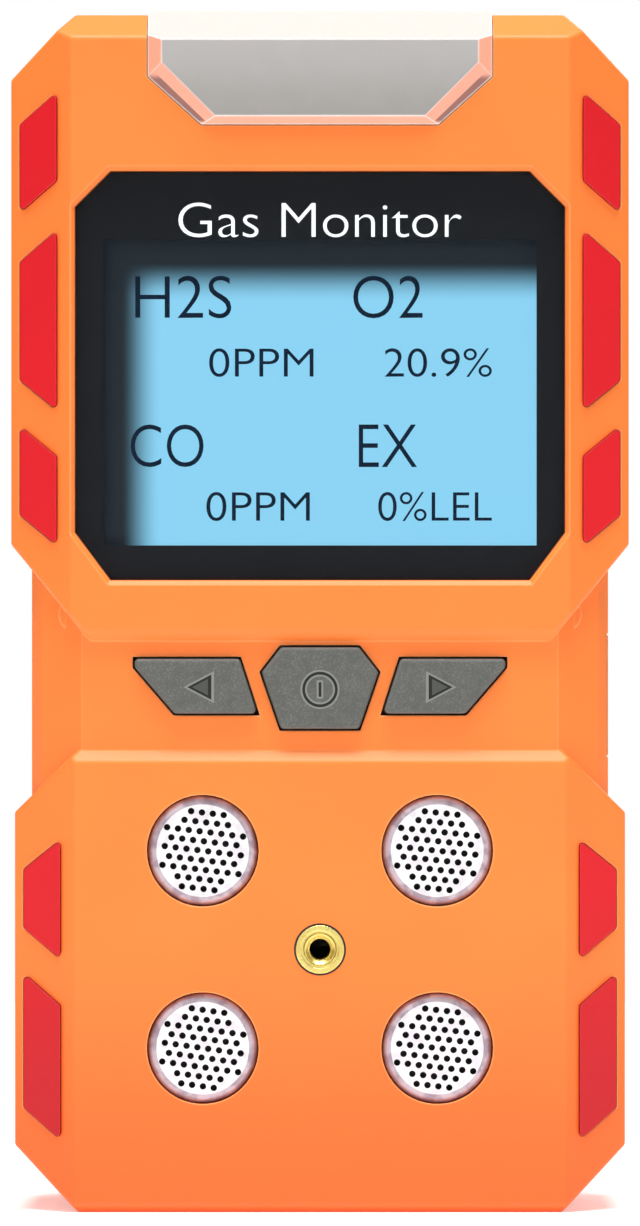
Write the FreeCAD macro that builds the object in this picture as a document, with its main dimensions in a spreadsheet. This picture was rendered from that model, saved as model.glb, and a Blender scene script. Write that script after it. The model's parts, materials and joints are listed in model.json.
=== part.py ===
"""Portable four-gas detector, built as its separate pieces.

A pocket instrument in a two-part moulded case with armoured head and base blocks, a display behind a
flush lens, three keys in the waist, four perforated gas inlets round a threaded brass socket, a frosted
alarm window across the top edge, and a sprung belt clip on the back.

Frame: X to the right seen from the front, the front faces -Y, Z up. The origin is in the base face, on
the plane where the two case shells meet. All lengths are millimetres.
"""
import FreeCAD, Part
import math
import os
from collections import namedtuple

import Sketcher

V = FreeCAD.Vector
DOC = FreeCAD.newDocument("GasDetector")

# name, millimetres (or a count), what it sets
SIZES = (
    ("case_width", 67.0, "across the head block"),
    ("front_depth", 16.0, "front face to the joint plane"),
    ("rear_depth", 15.0, "joint plane to the back face"),
    ("wall", 2.0, "case wall"),
    ("end_wall", 3.0, "case wall at the top and the base"),
    ("base_inset", 0.4, "base block side inside the head block side"),
    ("waist_inset", 2.2, "waist side inside the head block side"),
    ("panel_recess", 1.0, "key panel behind the block faces"),
    ("panel_inset", 1.2, "key panel edge inside the block face edge"),
    ("facet_width", 6.6, "sloped side facet, across"),
    ("facet_depth", 5.5, "sloped side facet, front to back"),
    ("waist_bevel_width", 1.2, "steep second facet on the waist, across"),
    ("waist_bevel_depth", 2.4, "steep second facet on the waist, front to back"),
    ("corner_cut", 7.0, "cut corners at the top and the base"),
    ("shoulder_cut", 8.75, "cut corners of the head block above the waist, across"),
    ("shoulder_rise", 10.5, "cut corners of the head block above the waist, in height"),
    ("hip_cut", 6.8, "cut corners of the base block below the waist"),
    ("step_bevel", 1.3, "slope between block face and key panel, in height"),
    ("brow_bevel_height", 2.6, "slope along the top front edge, in height"),
    ("brow_bevel_depth", 4.5, "slope along the top front edge, in depth"),
    ("foot_bevel", 0.9, "slope along the bottom front and back edges"),
    ("rear_facet", 4.0, "bevel along the upright rear edges"),
    ("edge_round", 0.6, "rounding of the outer block edges"),
    ("cavity_cut", 5.0, "cut corners of the inner space"),
    ("waist_height", 11.7, "key panel, bottom to top"),
    ("block_margin", 0.75, "top of the upper sensors to the top of the base block"),
    ("lens_rise", 6.7, "bottom of the head block to the lens"),
    ("lens_height", 44.05, "display lens, bottom to top"),
    ("brow_height", 17.15, "top of the lens to the top of the case"),
    ("lens_rim", 0.5, "case face left beside the lens"),
    ("lens_thickness", 1.2, "display lens"),
    ("lens_recess", 0.3, "lens face behind the case face"),
    ("lens_cut", 3.8, "cut corners of the lens"),
    ("lens_low_cut_rise", 5.1, "height of the lens's lower cut corners"),
    ("lens_gap", 0.08, "round the lens in its pocket"),
    ("lens_chamfer", 0.5, "bevelled lip of the lens pocket"),
    ("mask_thickness", 0.2, "printed black border with its adhesive"),
    ("mask_side", 3.0, "black border at the sides"),
    ("mask_low", 3.7, "black border at the bottom"),
    ("mask_high", 7.3, "black border at the top"),
    ("opening_margin", 0.8, "case opening beyond the clear view"),
    ("display_gap", 0.2, "front wall to the display glass"),
    ("display_border", 0.6, "display glass beyond the clear view"),
    ("display_thickness", 1.8, "display glass"),
    ("light_thickness", 2.0, "backlight plate"),
    ("tray_wall", 0.65, "display tray wall"),
    ("tray_floor", 0.4, "display tray floor"),
    ("fit_gap", 0.05, "between pieces that sit in one another"),
    ("board_thickness", 1.6, "circuit boards"),
    ("board_side_gap", 1.3, "inner wall to board edge"),
    ("board_low_gap", 0.4, "top of the base block to the main board"),
    ("tongue_half", 17.0, "main board tongue, half width"),
    ("tongue_gap", 2.6, "main board tongue to the inner top wall"),
    ("keys_rise", 6.9, "top of the base block to the key row centre"),
    ("key_proud", 0.9, "key face in front of the key panel"),
    ("key_gap", 0.22, "round each key in its hole"),
    ("key_play", 0.1, "key flange behind the front wall"),
    ("key_flange", 0.6, "key flange beyond the key"),
    ("key_flange_thickness", 0.7, "key flange"),
    ("key_round", 0.45, "rounding of the key edges"),
    ("button_travel", 0.6, "key stroke"),
    ("power_key_high", 4.2, "power key above the row centre"),
    ("power_key_low", 4.6, "power key below the row centre"),
    ("power_key_shoulder", 1.5, "widest line of the power key above the row centre"),
    ("power_key_half", 6.3, "power key, half width at its widest"),
    ("power_key_end_half", 4.2, "power key, half width at top and bottom"),
    ("side_key_half_height", 2.95, "side keys, half height"),
    ("side_key_gap", 2.4, "power key to the side keys at their upper corners"),
    ("side_key_edge", 5.7, "side key upper outer corner to the key panel edge"),
    ("side_key_slant_in", 1.9, "lean of the side key inner edges"),
    ("side_key_slant_out", 4.3, "lean of the side key outer edges"),
    ("side_key_tip", 0.9, "upright end of the side key upper outer corners"),
    ("stem_radius", 1.6, "key stem and switch plunger"),
    ("plunger_gap", 0.06, "round the plunger in its switch"),
    ("switch_size", 6.0, "tact switch, square"),
    ("switch_height", 2.2, "tact switch body"),
    ("plunger_proud", 0.8, "plunger above its switch at rest"),
    ("plunger_depth", 0.9, "plunger inside its switch at rest"),
    ("mat_border", 3.4, "keypad seal beyond the outer keys"),
    ("mat_gap", 0.5, "keypad seal round the key flanges"),
    ("sensor_diameter", 20.2, "gas sensor cells"),
    ("sensor_length", 16.6, "gas sensor cells"),
    ("sensor_gap_across", 5.1, "between the left and right sensors"),
    ("sensor_gap_up", 1.1, "between the lower and upper sensors"),
    ("sensor_margin", 4.65, "inner base wall to the lower sensors"),
    ("sensor_setback", 1.0, "inner front wall to the sensor faces"),
    ("cap_radius", 5.95, "perforated inlet cap"),
    ("cap_gap", 0.08, "round the cap in the front wall"),
    ("cap_recess", 0.2, "cap face behind the block face"),
    ("cap_sheet", 0.35, "sheet metal of the cap"),
    ("cap_flange", 1.1, "cap flange behind the wall"),
    ("cap_shoulder", 0.85, "rounded shoulder of the cap"),
    ("hole_radius", 0.27, "perforations"),
    ("hole_pitch", 1.25, "perforations, centre to centre"),
    ("mesh_radius", 4.75, "perforated area"),
    ("filter_thickness", 0.4, "dust filter disc"),
    ("filter_setback", 1.3, "cap face to dust filter"),
    ("seal_inner", 5.2, "sensor face seal, inner radius"),
    ("pin_radius", 0.75, "sensor pins"),
    ("pin_circle", 6.6, "sensor pins, radius of their circle"),
    ("pin_length", 3.6, "sensor pins"),
    ("sensor_board_gap", 0.6, "sensor backs to the sensor board"),
    ("nut_radius", 2.6, "brass calibration socket"),
    ("nut_bore", 1.25, "bore of the calibration thread, minor radius of M3"),
    ("nut_length", 6.2, "brass calibration socket"),
    ("nut_proud", 0.1, "brass face in front of the block face"),
    ("boss_wall", 1.8, "plastic round the calibration socket"),
    ("window_half", 18.6, "alarm window, half width at the top"),
    ("window_low_half", 12.8, "alarm window, half width at its lower edge"),
    ("window_side", 6.9, "alarm window, upright side length"),
    ("window_height", 12.1, "alarm window, front height"),
    ("window_reach", 12.0, "alarm window along the top, front to back"),
    ("window_proud", 0.8, "alarm window in front of the block face"),
    ("window_top_proud", 0.5, "alarm window above the case top"),
    ("window_rim", 1.5, "sloped rim of the alarm window"),
    ("window_sheet", 2.6, "alarm window wall"),
    ("window_gap", 0.08, "round the alarm window"),
    ("insert_width", 4.05, "red side inserts, across as seen from the front"),
    ("insert_edge_gap", 1.0, "red side inserts to the block side"),
    ("insert_head_top_rise", 56.0, "head block bottom to the outer top corner of its top insert"),
    ("insert_head_top_length", 9.5, "outer length of the head block's top insert"),
    ("insert_head_middle_rise", 41.1, "head block bottom to the outer top corner of its middle insert"),
    ("insert_head_middle_length", 12.8, "outer length of the head block's middle insert"),
    ("insert_head_bottom_rise", 23.3, "head block bottom to the outer top corner of its bottom insert"),
    ("insert_head_bottom_length", 9.6, "outer length of the head block's bottom insert"),
    ("insert_base_top_rise", 36.9, "base to the outer top corner of the base block's top insert"),
    ("insert_base_top_length", 6.3, "outer length of the base block's top insert"),
    ("insert_base_bottom_rise", 25.6, "base to the outer top corner of the base block's bottom insert"),
    ("insert_base_bottom_length", 14.5, "outer length of the base block's bottom insert"),
    ("insert_slant", 3.3, "rise of the slanted insert ends"),
    ("insert_proud", 0.3, "red side inserts above the facet"),
    ("insert_depth", 1.1, "red side inserts below the facet"),
    ("insert_gap", 0.06, "round the red side inserts"),
    ("insert_round", 0.35, "rounded corners of the red side inserts"),
    ("screw_inset", 3.0, "inner side wall to the case screws"),
    ("screw_low_rise", 5.5, "inner base wall to the lower case screws"),
    ("screw_high_drop", 7.5, "inner top wall to the upper case screws"),
    ("screw_radius", 1.25, "case screw shank"),
    ("screw_head_radius", 2.3, "case screw head"),
    ("screw_head_height", 1.6, "case screw head"),
    ("screw_sink", 3.0, "depth of the screw pockets in the back"),
    ("screw_boss_radius", 3.1, "case screw posts"),
    ("screw_boss_length", 11.0, "case screw posts in the front shell"),
    ("thread_insert_radius", 1.9, "brass thread inserts for the case screws"),
    ("thread_insert_length", 5.0, "brass thread inserts for the case screws"),
    ("board_boss_radius", 2.0, "main board posts"),
    ("board_screw_radius", 0.9, "main board screw shank"),
    ("board_screw_length", 4.0, "main board screw shank"),
    ("board_screw_rise", 3.0, "head block bottom and lens top to the board screws"),
    ("groove_inset", 0.6, "inner wall to the seal groove"),
    ("seal_width", 0.8, "case seal"),
    ("seal_thickness", 0.9, "case seal"),
    ("battery_width", 34.0, "battery cell"),
    ("battery_height", 50.0, "battery cell"),
    ("battery_thickness", 8.0, "battery cell"),
    ("battery_setback", 4.5, "battery to the inner back wall"),
    ("battery_rise", 8.4, "top of the base block to the battery"),
    ("pad_width", 7.0, "battery foam pads"),
    ("usb_height", 8.94, "charging socket, along Z"),
    ("usb_thickness", 3.2, "charging socket, along Y"),
    ("usb_length", 7.3, "charging socket, along X"),
    ("cover_height", 13.0, "charging cover, along Z"),
    ("cover_width", 7.2, "charging cover, along Y"),
    ("cover_thickness", 1.0, "charging cover"),
    ("cover_gap", 0.2, "round the charging cover"),
    ("sounder_radius", 6.0, "sounder"),
    ("sounder_height", 5.5, "sounder"),
    ("motor_radius", 3.0, "vibration motor"),
    ("motor_length", 12.0, "vibration motor"),
    ("motor_offset", 20.0, "case middle to the far end of the vibration motor"),
    ("motor_setback", 0.4, "vibration motor to the inner back wall"),
    ("shaft_radius", 0.5, "vibration motor shaft"),
    ("weight_length", 3.5, "vibration motor weight"),
    ("sounder_offset", 11.0, "case middle to the sounder"),
    ("clip_drop", 32.0, "case top to the clip pin"),
    ("clip_sheet", 1.0, "clip sheet metal"),
    ("clip_half", 9.0, "clip bracket, half width"),
    ("clip_jaw_half", 7.7, "clip jaw, half width"),
    ("clip_standoff", 4.2, "back face to the clip pin"),
    ("clip_pin_radius", 1.0, "clip pin"),
    ("clip_pin_gap", 0.06, "round the clip pin"),
    ("clip_arm", 33.0, "clip pin to the jaw tip"),
    ("clip_lever", 17.0, "clip pin to the thumb edge"),
    ("clip_bow", 6.5, "belt space between the back face and the jaw"),
    ("spring_wire", 0.3, "radius of the clip spring wire"),
    ("spring_coil", 1.46, "radius of the clip spring coil, to the wire's middle"),
    ("clip_screw_pitch", 13.0, "between the two clip screws"),
    ("clip_screw_radius", 1.5, "clip screw shank"),
    ("label_half", 19.0, "rating plate, half width"),
    ("label_height", 26.0, "rating plate"),
    ("label_rise", 15.0, "base to the rating plate"),
    ("label_thickness", 0.3, "rating plate"),
)


class Dim:
    """A length that carries both its number and the sheet expression that it comes from."""

    def __init__(self, value, text):
        self.value = float(value)
        self.text = text

    @staticmethod
    def of(other):
        """A Dim as it is, and a plain number as a Dim."""
        return other if isinstance(other, Dim) else Dim(other, f"{float(other):.9f}")

    def __add__(self, other):
        other = Dim.of(other)
        return Dim(self.value + other.value, f"({self.text} + {other.text})")

    def __sub__(self, other):
        other = Dim.of(other)
        return Dim(self.value - other.value, f"({self.text} - {other.text})")

    def __mul__(self, other):
        other = Dim.of(other)
        return Dim(self.value * other.value, f"({self.text} * {other.text})")

    def __truediv__(self, other):
        other = Dim.of(other)
        return Dim(self.value / other.value, f"({self.text} / {other.text})")

    def __neg__(self):
        return Dim(-self.value, f"(0 - {self.text})")

    def __radd__(self, other):
        return Dim.of(other) + self

    def __rsub__(self, other):
        return Dim.of(other) - self

    def __rmul__(self, other):
        return Dim.of(other) * self


SHEET = DOC.addObject("Spreadsheet::Sheet", "Sizes")
for row, (alias, number, meaning) in enumerate(SIZES, start=1):
    SHEET.set(f"A{row}", alias)
    SHEET.set(f"B{row}", str(number))
    SHEET.setAlias(f"B{row}", alias)
    SHEET.set(f"C{row}", meaning)
DOC.recompute()


class SizeTable:
    """Reads a size of the sheet by its alias, as a Dim."""

    def __getattr__(self, alias):
        return Dim(SHEET.get(alias), f"{SHEET.Name}.{alias}")


D = SizeTable()
Circle = namedtuple("Circle", "x y radius")
PLANES = {"x": "YZ_Plane", "y": "XZ_Plane", "z": "XY_Plane"}
PARTS = []
CLEAR = 2.0  # how far a cutting outline runs past the solid that it cuts


# ---------------------------------------------------------------- building blocks

def bind(target, prop, size):
    """Ties a property of a document object to the sheet."""
    target.setExpression(prop, Dim.of(size).text)


def new_body(label, part=True):
    """A PartDesign body. A part is written out as a piece; a tool only shapes other bodies."""
    body = DOC.addObject("PartDesign::Body", label)
    body.Label = label
    if part:
        PARTS.append(body)
    return body


def new_sketch(body, normal, at, origin=(0, 0)):
    """A sketch square to the axis normal, with its own origin at the two other coordinates given."""
    plane = next(o for o in body.Origin.OriginFeatures if o.Role == PLANES[normal])
    sketch = body.newObject("Sketcher::SketchObject", f"{body.Label}_sketch")
    sketch.AttachmentSupport = [(plane, "")]
    sketch.MapMode = "FlatFace"
    bind(sketch, "AttachmentOffset.Base.x", origin[0])
    bind(sketch, "AttachmentOffset.Base.y", origin[1])
    bind(sketch, "AttachmentOffset.Base.z", -Dim.of(at) if normal == "y" else at)
    return sketch


def constrain(sketch, kind, geometry, point, size):
    """Fixes a point's distance from the sketch origin to a size."""
    size = Dim.of(size)
    index = sketch.addConstraint(Sketcher.Constraint(kind, -1, 1, geometry, point, size.value))
    sketch.setExpression(f"Constraints[{index}]", size.text)


def draw(sketch, loops):
    """Draws closed loops: circles, and polygons given by their corners."""
    for loop in loops:
        first = sketch.GeometryCount
        if isinstance(loop, Circle):
            x, y, radius = (Dim.of(v) for v in loop)
            sketch.addGeometry(Part.Circle(V(x.value, y.value, 0), V(0, 0, 1), radius.value), False)
            constrain(sketch, "DistanceX", first, 3, x)
            constrain(sketch, "DistanceY", first, 3, y)
            index = sketch.addConstraint(Sketcher.Constraint("Radius", first, radius.value))
            sketch.setExpression(f"Constraints[{index}]", radius.text)
            continue
        corners = [(Dim.of(x), Dim.of(y)) for x, y in loop]
        count = len(corners)
        for i, (x, y) in enumerate(corners):
            x_next, y_next = corners[(i + 1) % count]
            line = Part.LineSegment(V(x.value, y.value, 0), V(x_next.value, y_next.value, 0))
            sketch.addGeometry(line, False)
        for i, (x, y) in enumerate(corners):
            here, following = first + i, first + (i + 1) % count
            sketch.addConstraint(Sketcher.Constraint("Coincident", here, 2, following, 1))
            constrain(sketch, "DistanceX", here, 1, x)
            constrain(sketch, "DistanceY", here, 1, y)


def finish_feature(body, feature, volume_before, cut):
    """Recomputes, and stops if the feature failed or changed nothing."""
    DOC.recompute()
    if "Invalid" in feature.State or "Error" in feature.State or body.Shape.isNull():
        raise RuntimeError(f"{feature.Label} of {body.Label} failed: {feature.State}")
    change = body.Shape.Volume - volume_before
    if (change >= -1e-6) if cut else (change <= 1e-6):
        raise RuntimeError(f"{feature.Label} of {body.Label} changed the volume by {change:.4f}")
    return feature


def volume_of(body):
    """The body's volume so far, 0 for an empty one."""
    return 0.0 if body.Tip is None or body.Shape.isNull() else body.Shape.Volume


def extrude(body, normal, start, end, loops, cut=False):
    """Pads (or pockets) loops between two positions on the axis normal, start below end."""
    before = volume_of(body)
    start, end = Dim.of(start), Dim.of(end)
    sketch = new_sketch(body, normal, end if normal == "y" else start)
    draw(sketch, loops)
    kind = "Pocket" if cut else "Pad"
    feature = body.newObject(f"PartDesign::{kind}", f"{body.Label}_{kind.lower()}")
    feature.Profile = sketch
    feature.Reversed = cut
    bind(feature, "Length", end - start)
    return finish_feature(body, feature, before, cut)


def turn(body, axis, profile, cut=False):
    """Revolves a profile of (y, radius) corners about the line along Y at axis = (x, z)."""
    before = volume_of(body)
    sketch = new_sketch(body, "x", axis[0], origin=(0, axis[1]))
    draw(sketch, [profile])
    kind = "Groove" if cut else "Revolution"
    feature = body.newObject(f"PartDesign::{kind}", f"{body.Label}_{kind.lower()}")
    feature.Profile = sketch
    feature.ReferenceAxis = (sketch, ["H_Axis"])
    feature.Angle = 360
    return finish_feature(body, feature, before, cut)


def loft(body, y_start, loop_start, y_end, loop_end, cut=False):
    """Adds (or cuts) the straight-sided solid between two loops of equal corner count, square to Y."""
    before = volume_of(body)
    sections = []
    for y, loop in ((y_start, loop_start), (y_end, loop_end)):
        sketch = new_sketch(body, "y", y)
        draw(sketch, [loop])
        sections.append(sketch)
    kind = "SubtractiveLoft" if cut else "AdditiveLoft"
    feature = body.newObject(f"PartDesign::{kind}", f"{body.Label}_loft")
    feature.Profile = sections[0]
    feature.Sections = sections[1:]
    feature.Ruled = True
    return finish_feature(body, feature, before, cut)


def combine(body, operation, tools):
    """Fuses other bodies with this one, cuts them from it, or keeps what they share."""
    before = volume_of(body)
    feature = body.newObject("PartDesign::Boolean", f"{body.Label}_{operation.lower()}")
    feature.Type = operation
    feature.setObjects(tools)
    return finish_feature(body, feature, before, operation != "Fuse")


def dress(body, kind, size, chosen):
    """Rounds (Fillet) or bevels (Chamfer) the edges of the body that chosen picks."""
    base = body.Tip
    names = [f"Edge{i}" for i, edge in enumerate(base.Shape.Edges, start=1) if chosen(edge)]
    if not names:
        raise RuntimeError(f"no edge of {body.Label} to dress")
    feature = body.newObject(f"PartDesign::{kind}", f"{body.Label}_{kind.lower()}")
    feature.Base = (base, names)
    bind(feature, "Radius" if kind == "Fillet" else "Size", size)
    DOC.recompute()
    if "Invalid" in feature.State or not body.Shape.isValid():
        raise RuntimeError(f"{kind} of {body.Label} failed")
    return feature


def edge_at(coordinate, size, tolerance=1e-4):
    """Picks edges that lie wholly at one value of x, y or z."""
    wanted = Dim.of(size).value

    def chosen(edge):
        low = getattr(edge.BoundBox, f"{coordinate.upper()}Min")
        high = getattr(edge.BoundBox, f"{coordinate.upper()}Max")
        return abs(low - wanted) < tolerance and abs(high - wanted) < tolerance

    return chosen


def box_loop(x_low, y_low, x_high, y_high):
    """A rectangle's corners."""
    return [(x_low, y_low), (x_high, y_low), (x_high, y_high), (x_low, y_high)]


def cut_corner_loop(half, low, high, low_cut, high_cut):
    """An upright octagon, centred on x = 0, whose corners are cut at 45 degrees or near it."""
    low_x, high_x = half - low_cut[0], half - high_cut[0]
    right = [(low_x, low), (half, low + low_cut[1]), (half, high - high_cut[1]), (high_x, high)]
    return right + [(-x, z) for x, z in reversed(right)]


def mirrored(loop):
    """The loop on the other side of x = 0."""
    return [(-x, z) for x, z in reversed(loop)]


def grow(loop, distance):
    """Moves each side of a convex counter-clockwise polygon outwards by a distance."""
    corners = [(Dim.of(x), Dim.of(y)) for x, y in loop]
    count = len(corners)
    grown = []
    for i, (x, y) in enumerate(corners):
        x_before, y_before = corners[i - 1]
        x_after, y_after = corners[(i + 1) % count]
        angle_in = math.atan2(y.value - y_before.value, x.value - x_before.value)
        angle_out = math.atan2(y_after.value - y.value, x_after.value - x.value)
        bisector = (angle_in + angle_out) / 2 - math.pi / 2
        if abs(angle_out - angle_in) > math.pi:
            bisector += math.pi
        reach = 1 / math.cos((angle_out - angle_in) / 2)
        grown.append((x + distance * (abs(reach) * math.cos(bisector)),
                      y + distance * (abs(reach) * math.sin(bisector))))
    return grown


# ---------------------------------------------------------------- planes and lines shared by the pieces

half = D.case_width / 2
base_half = half - D.base_inset
waist_half = half - D.waist_inset
cavity_half = waist_half - D.wall
front = -D.front_depth
panel = front + D.panel_recess
inner_front = panel + D.wall
rear = D.rear_depth
inner_rear = rear - D.wall
facet_slope = D.facet_depth / D.facet_width

sensor_x = (D.sensor_diameter + D.sensor_gap_across) / 2
sensor_low = D.end_wall + D.sensor_margin + D.sensor_diameter / 2
sensor_high = sensor_low + D.sensor_diameter + D.sensor_gap_up
sensor_middle = (sensor_low + sensor_high) / 2
base_top = sensor_high + D.sensor_diameter / 2 + D.block_margin
head_low = base_top + D.waist_height
lens_low = head_low + D.lens_rise
lens_high = lens_low + D.lens_height
top = lens_high + D.brow_height
cavity_low = D.end_wall
cavity_high = top - D.end_wall

panel_half = half - D.facet_width - D.panel_inset
lens_half = half - D.facet_width - D.lens_rim
view_half = lens_half - D.mask_side
view_low = lens_low + D.mask_low
view_high = lens_high - D.mask_high
lens_face = front + D.lens_recess
lens_back = lens_face + D.lens_thickness
mask_back = lens_back + D.mask_thickness
display_front = inner_front + D.display_gap
display_back = display_front + D.display_thickness
light_back = display_back + D.light_thickness
board_front = light_back + D.tray_floor
board_back = board_front + D.board_thickness
board_half = cavity_half - D.board_side_gap
board_low = base_top + D.board_low_gap

screw_x = cavity_half - D.screw_inset
screw_low = cavity_low + D.screw_low_rise
screw_high = cavity_high - D.screw_high_drop
screw_spots = [(x, z) for z in (screw_low, screw_high) for x in (-screw_x, screw_x)]
board_high = screw_high - D.screw_boss_radius - 0.7
board_screw_x = cavity_half - D.board_boss_radius - 1.0
board_screw_spots = [(x, z) for z in (head_low + D.board_screw_rise, lens_high - D.board_screw_rise)
                     for x in (-board_screw_x, board_screw_x)]
keys_z = base_top + D.keys_rise

sensor_face = inner_front + D.sensor_setback
sensor_back = sensor_face + D.sensor_length
sensor_board_front = sensor_back + D.sensor_board_gap
sensor_board_back = sensor_board_front + D.board_thickness
sensor_spots = {
    "combustible": (-sensor_x, sensor_high),
    "oxygen": (sensor_x, sensor_high),
    "carbon_monoxide": (-sensor_x, sensor_low),
    "hydrogen_sulfide": (sensor_x, sensor_low),
}

head_loop = cut_corner_loop(half, head_low, top, (D.shoulder_cut, D.shoulder_rise),
                            (D.corner_cut, D.corner_cut))
base_loop = cut_corner_loop(base_half, Dim.of(0), base_top, (D.corner_cut, D.corner_cut),
                            (D.corner_cut, D.hip_cut))
cavity_loop = cut_corner_loop(cavity_half, cavity_low, cavity_high, (D.cavity_cut, D.cavity_cut),
                              (D.cavity_cut, D.cavity_cut))
lens_corner = (D.lens_cut, D.lens_cut)
lens_low_corner = (D.lens_cut, D.lens_low_cut_rise)
lens_loop = cut_corner_loop(lens_half, lens_low, lens_high, lens_low_corner, lens_corner)

power_key_loop = [
    (-D.power_key_end_half, keys_z - D.power_key_low),
    (D.power_key_end_half, keys_z - D.power_key_low),
    (D.power_key_half, keys_z + D.power_key_shoulder),
    (D.power_key_end_half, keys_z + D.power_key_high),
    (-D.power_key_end_half, keys_z + D.power_key_high),
    (-D.power_key_half, keys_z + D.power_key_shoulder),
]
side_key_inner = D.power_key_half + D.side_key_gap
side_key_outer = panel_half - D.side_key_edge
right_key_loop = [
    (side_key_inner - D.side_key_slant_in, keys_z - D.side_key_half_height),
    (side_key_outer - D.side_key_slant_out, keys_z - D.side_key_half_height),
    (side_key_outer, keys_z + D.side_key_half_height - D.side_key_tip),
    (side_key_outer, keys_z + D.side_key_half_height),
    (side_key_inner, keys_z + D.side_key_half_height),
]
side_key_middle = (side_key_inner + side_key_outer) / 2 - (D.side_key_slant_in + D.side_key_slant_out) / 4
keys = {
    "left": (mirrored(right_key_loop), -side_key_middle),
    "power": (power_key_loop, Dim.of(0)),
    "right": (right_key_loop, side_key_middle),
}
window_loop = [
    (D.window_low_half, top - D.window_height),
    (D.window_half, top - D.window_side),
    (D.window_half, top + D.window_top_proud),
    (-D.window_half, top + D.window_top_proud),
    (-D.window_half, top - D.window_side),
    (-D.window_low_half, top - D.window_height),
]
window_back = front + D.window_reach

usb_z = base_top + D.waist_height / 2
usb_y = board_back + D.usb_thickness / 2
cover_low_y = usb_y - D.cover_width / 2
cover_high_y = usb_y + D.cover_width / 2

rear_floor = inner_rear - D.panel_recess
alert_z = (lens_high + cavity_high) / 2
sounder_x = D.sounder_offset
motor_start = -D.motor_offset
motor_end = motor_start + D.motor_length
motor_y = rear_floor - D.motor_setback - D.motor_radius

clip_z = top - D.clip_drop
pin_y = rear + D.clip_standoff
clip_screw_spots = [(Dim.of(0), clip_z + side * D.clip_screw_pitch / 2) for side in (-1, 1)]


# ---------------------------------------------------------------- case shells

def facet_cutter(edge, face, outward):
    """The corner outside a sloped side facet, in plan. outward is -1 at the front and +1 at the back."""
    width, depth = (D.facet_width, D.facet_depth) if outward < 0 else (D.rear_facet, D.rear_facet)
    return [
        (edge - width, face),
        (edge - width, face + outward * CLEAR),
        (edge + CLEAR, face + outward * CLEAR),
        (edge + CLEAR, face - outward * depth),
        (edge, face - outward * depth),
    ]


def make_block(label, loop, edge, low, high, face):
    """An armour block of one shell: its outline from the joint plane to face, with sloped sides."""
    outward = -1 if face.value < 0 else 1
    block = new_body(label, part=False)
    extrude(block, "y", face if outward < 0 else Dim.of(0), Dim.of(0) if outward < 0 else face, [loop])
    cutter = facet_cutter(edge, face, outward)
    extrude(block, "z", low - CLEAR, high + CLEAR, [cutter, mirrored(cutter)], cut=True)
    return block


def bevel_across(block, edge, face, y_inner, face_height):
    """Cuts a slope along a whole front or back edge, from face at face_height to y_inner at the end."""
    outward = -1 if face.value < 0 else 1
    upward = 1 if edge.value > face_height.value else -1
    loop = [
        (face, face_height),
        (face + outward * CLEAR, face_height),
        (face + outward * CLEAR, edge + upward * CLEAR),
        (y_inner, edge + upward * CLEAR),
        (y_inner, edge),
    ]
    extrude(block, "x", -half - CLEAR, half + CLEAR, [loop], cut=True)


def outer_edges(joint_y):
    """Picks the edges of a block that don't lie in the joint plane."""
    in_joint = edge_at("y", joint_y, 1e-3)
    return lambda edge: not in_joint(edge)


def front_core():
    """The waist of the front shell, which runs on inside both blocks."""
    core = new_body("front_core", part=False)
    steep_x = waist_half - D.waist_bevel_width
    steep_y = panel + (steep_x - panel_half) * facet_slope
    right = [
        (waist_half, Dim.of(0)),
        (waist_half, steep_y + D.waist_bevel_depth),
        (steep_x, steep_y),
        (panel_half, panel),
    ]
    loop = [(-x, y) for x, y in reversed(right)] + right
    extrude(core, "z", D.corner_cut + CLEAR, top - D.corner_cut - CLEAR, [loop[::-1]])
    return core


def rear_core():
    """The waist of the rear shell."""
    core = new_body("rear_core", part=False)
    right = [
        (waist_half, Dim.of(0)),
        (waist_half, rear - D.panel_recess - D.rear_facet),
        (waist_half - D.rear_facet, rear - D.panel_recess),
    ]
    loop = right + [(-x, y) for x, y in reversed(right)]
    extrude(core, "z", D.corner_cut + CLEAR, top - D.corner_cut - CLEAR, [loop])
    return core


def make_cavity(label, face):
    """The inner space of one shell, as a tool."""
    cavity = new_body(label, part=False)
    if face.value < 0:
        extrude(cavity, "y", face, Dim.of(0), [cavity_loop])
        half_angle = math.atan2(D.facet_depth.value, D.facet_width.value) / 2
        inner_half = panel_half - D.wall * math.tan(half_angle)
        depth = (cavity_half - inner_half) * facet_slope
        corner, sign = (inner_half, face), -1
    else:
        extrude(cavity, "y", Dim.of(0), face, [cavity_loop])
        depth = D.rear_facet - D.wall * (2 - math.sqrt(2)) + D.panel_recess
        corner, sign = (cavity_half - depth, face), 1
    loop = [
        corner,
        (corner[0], face + sign * CLEAR),
        (cavity_half + CLEAR, face + sign * CLEAR),
        (cavity_half + CLEAR, face - sign * depth),
        (cavity_half, face - sign * depth),
    ]
    extrude(cavity, "z", cavity_low - CLEAR, cavity_high + CLEAR, [loop, mirrored(loop)], cut=True)
    return cavity


# block and the slants of the two ends of each side insert: 1 rises towards the middle, -1 falls
INSERTS = {
    "head_top": ("head", 1, 1),
    "head_middle": ("head", 1, -1),
    "head_bottom": ("head", -1, -1),
    "base_top": ("base", 1, -1),
    "base_bottom": ("base", -1, -1),
}


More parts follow.
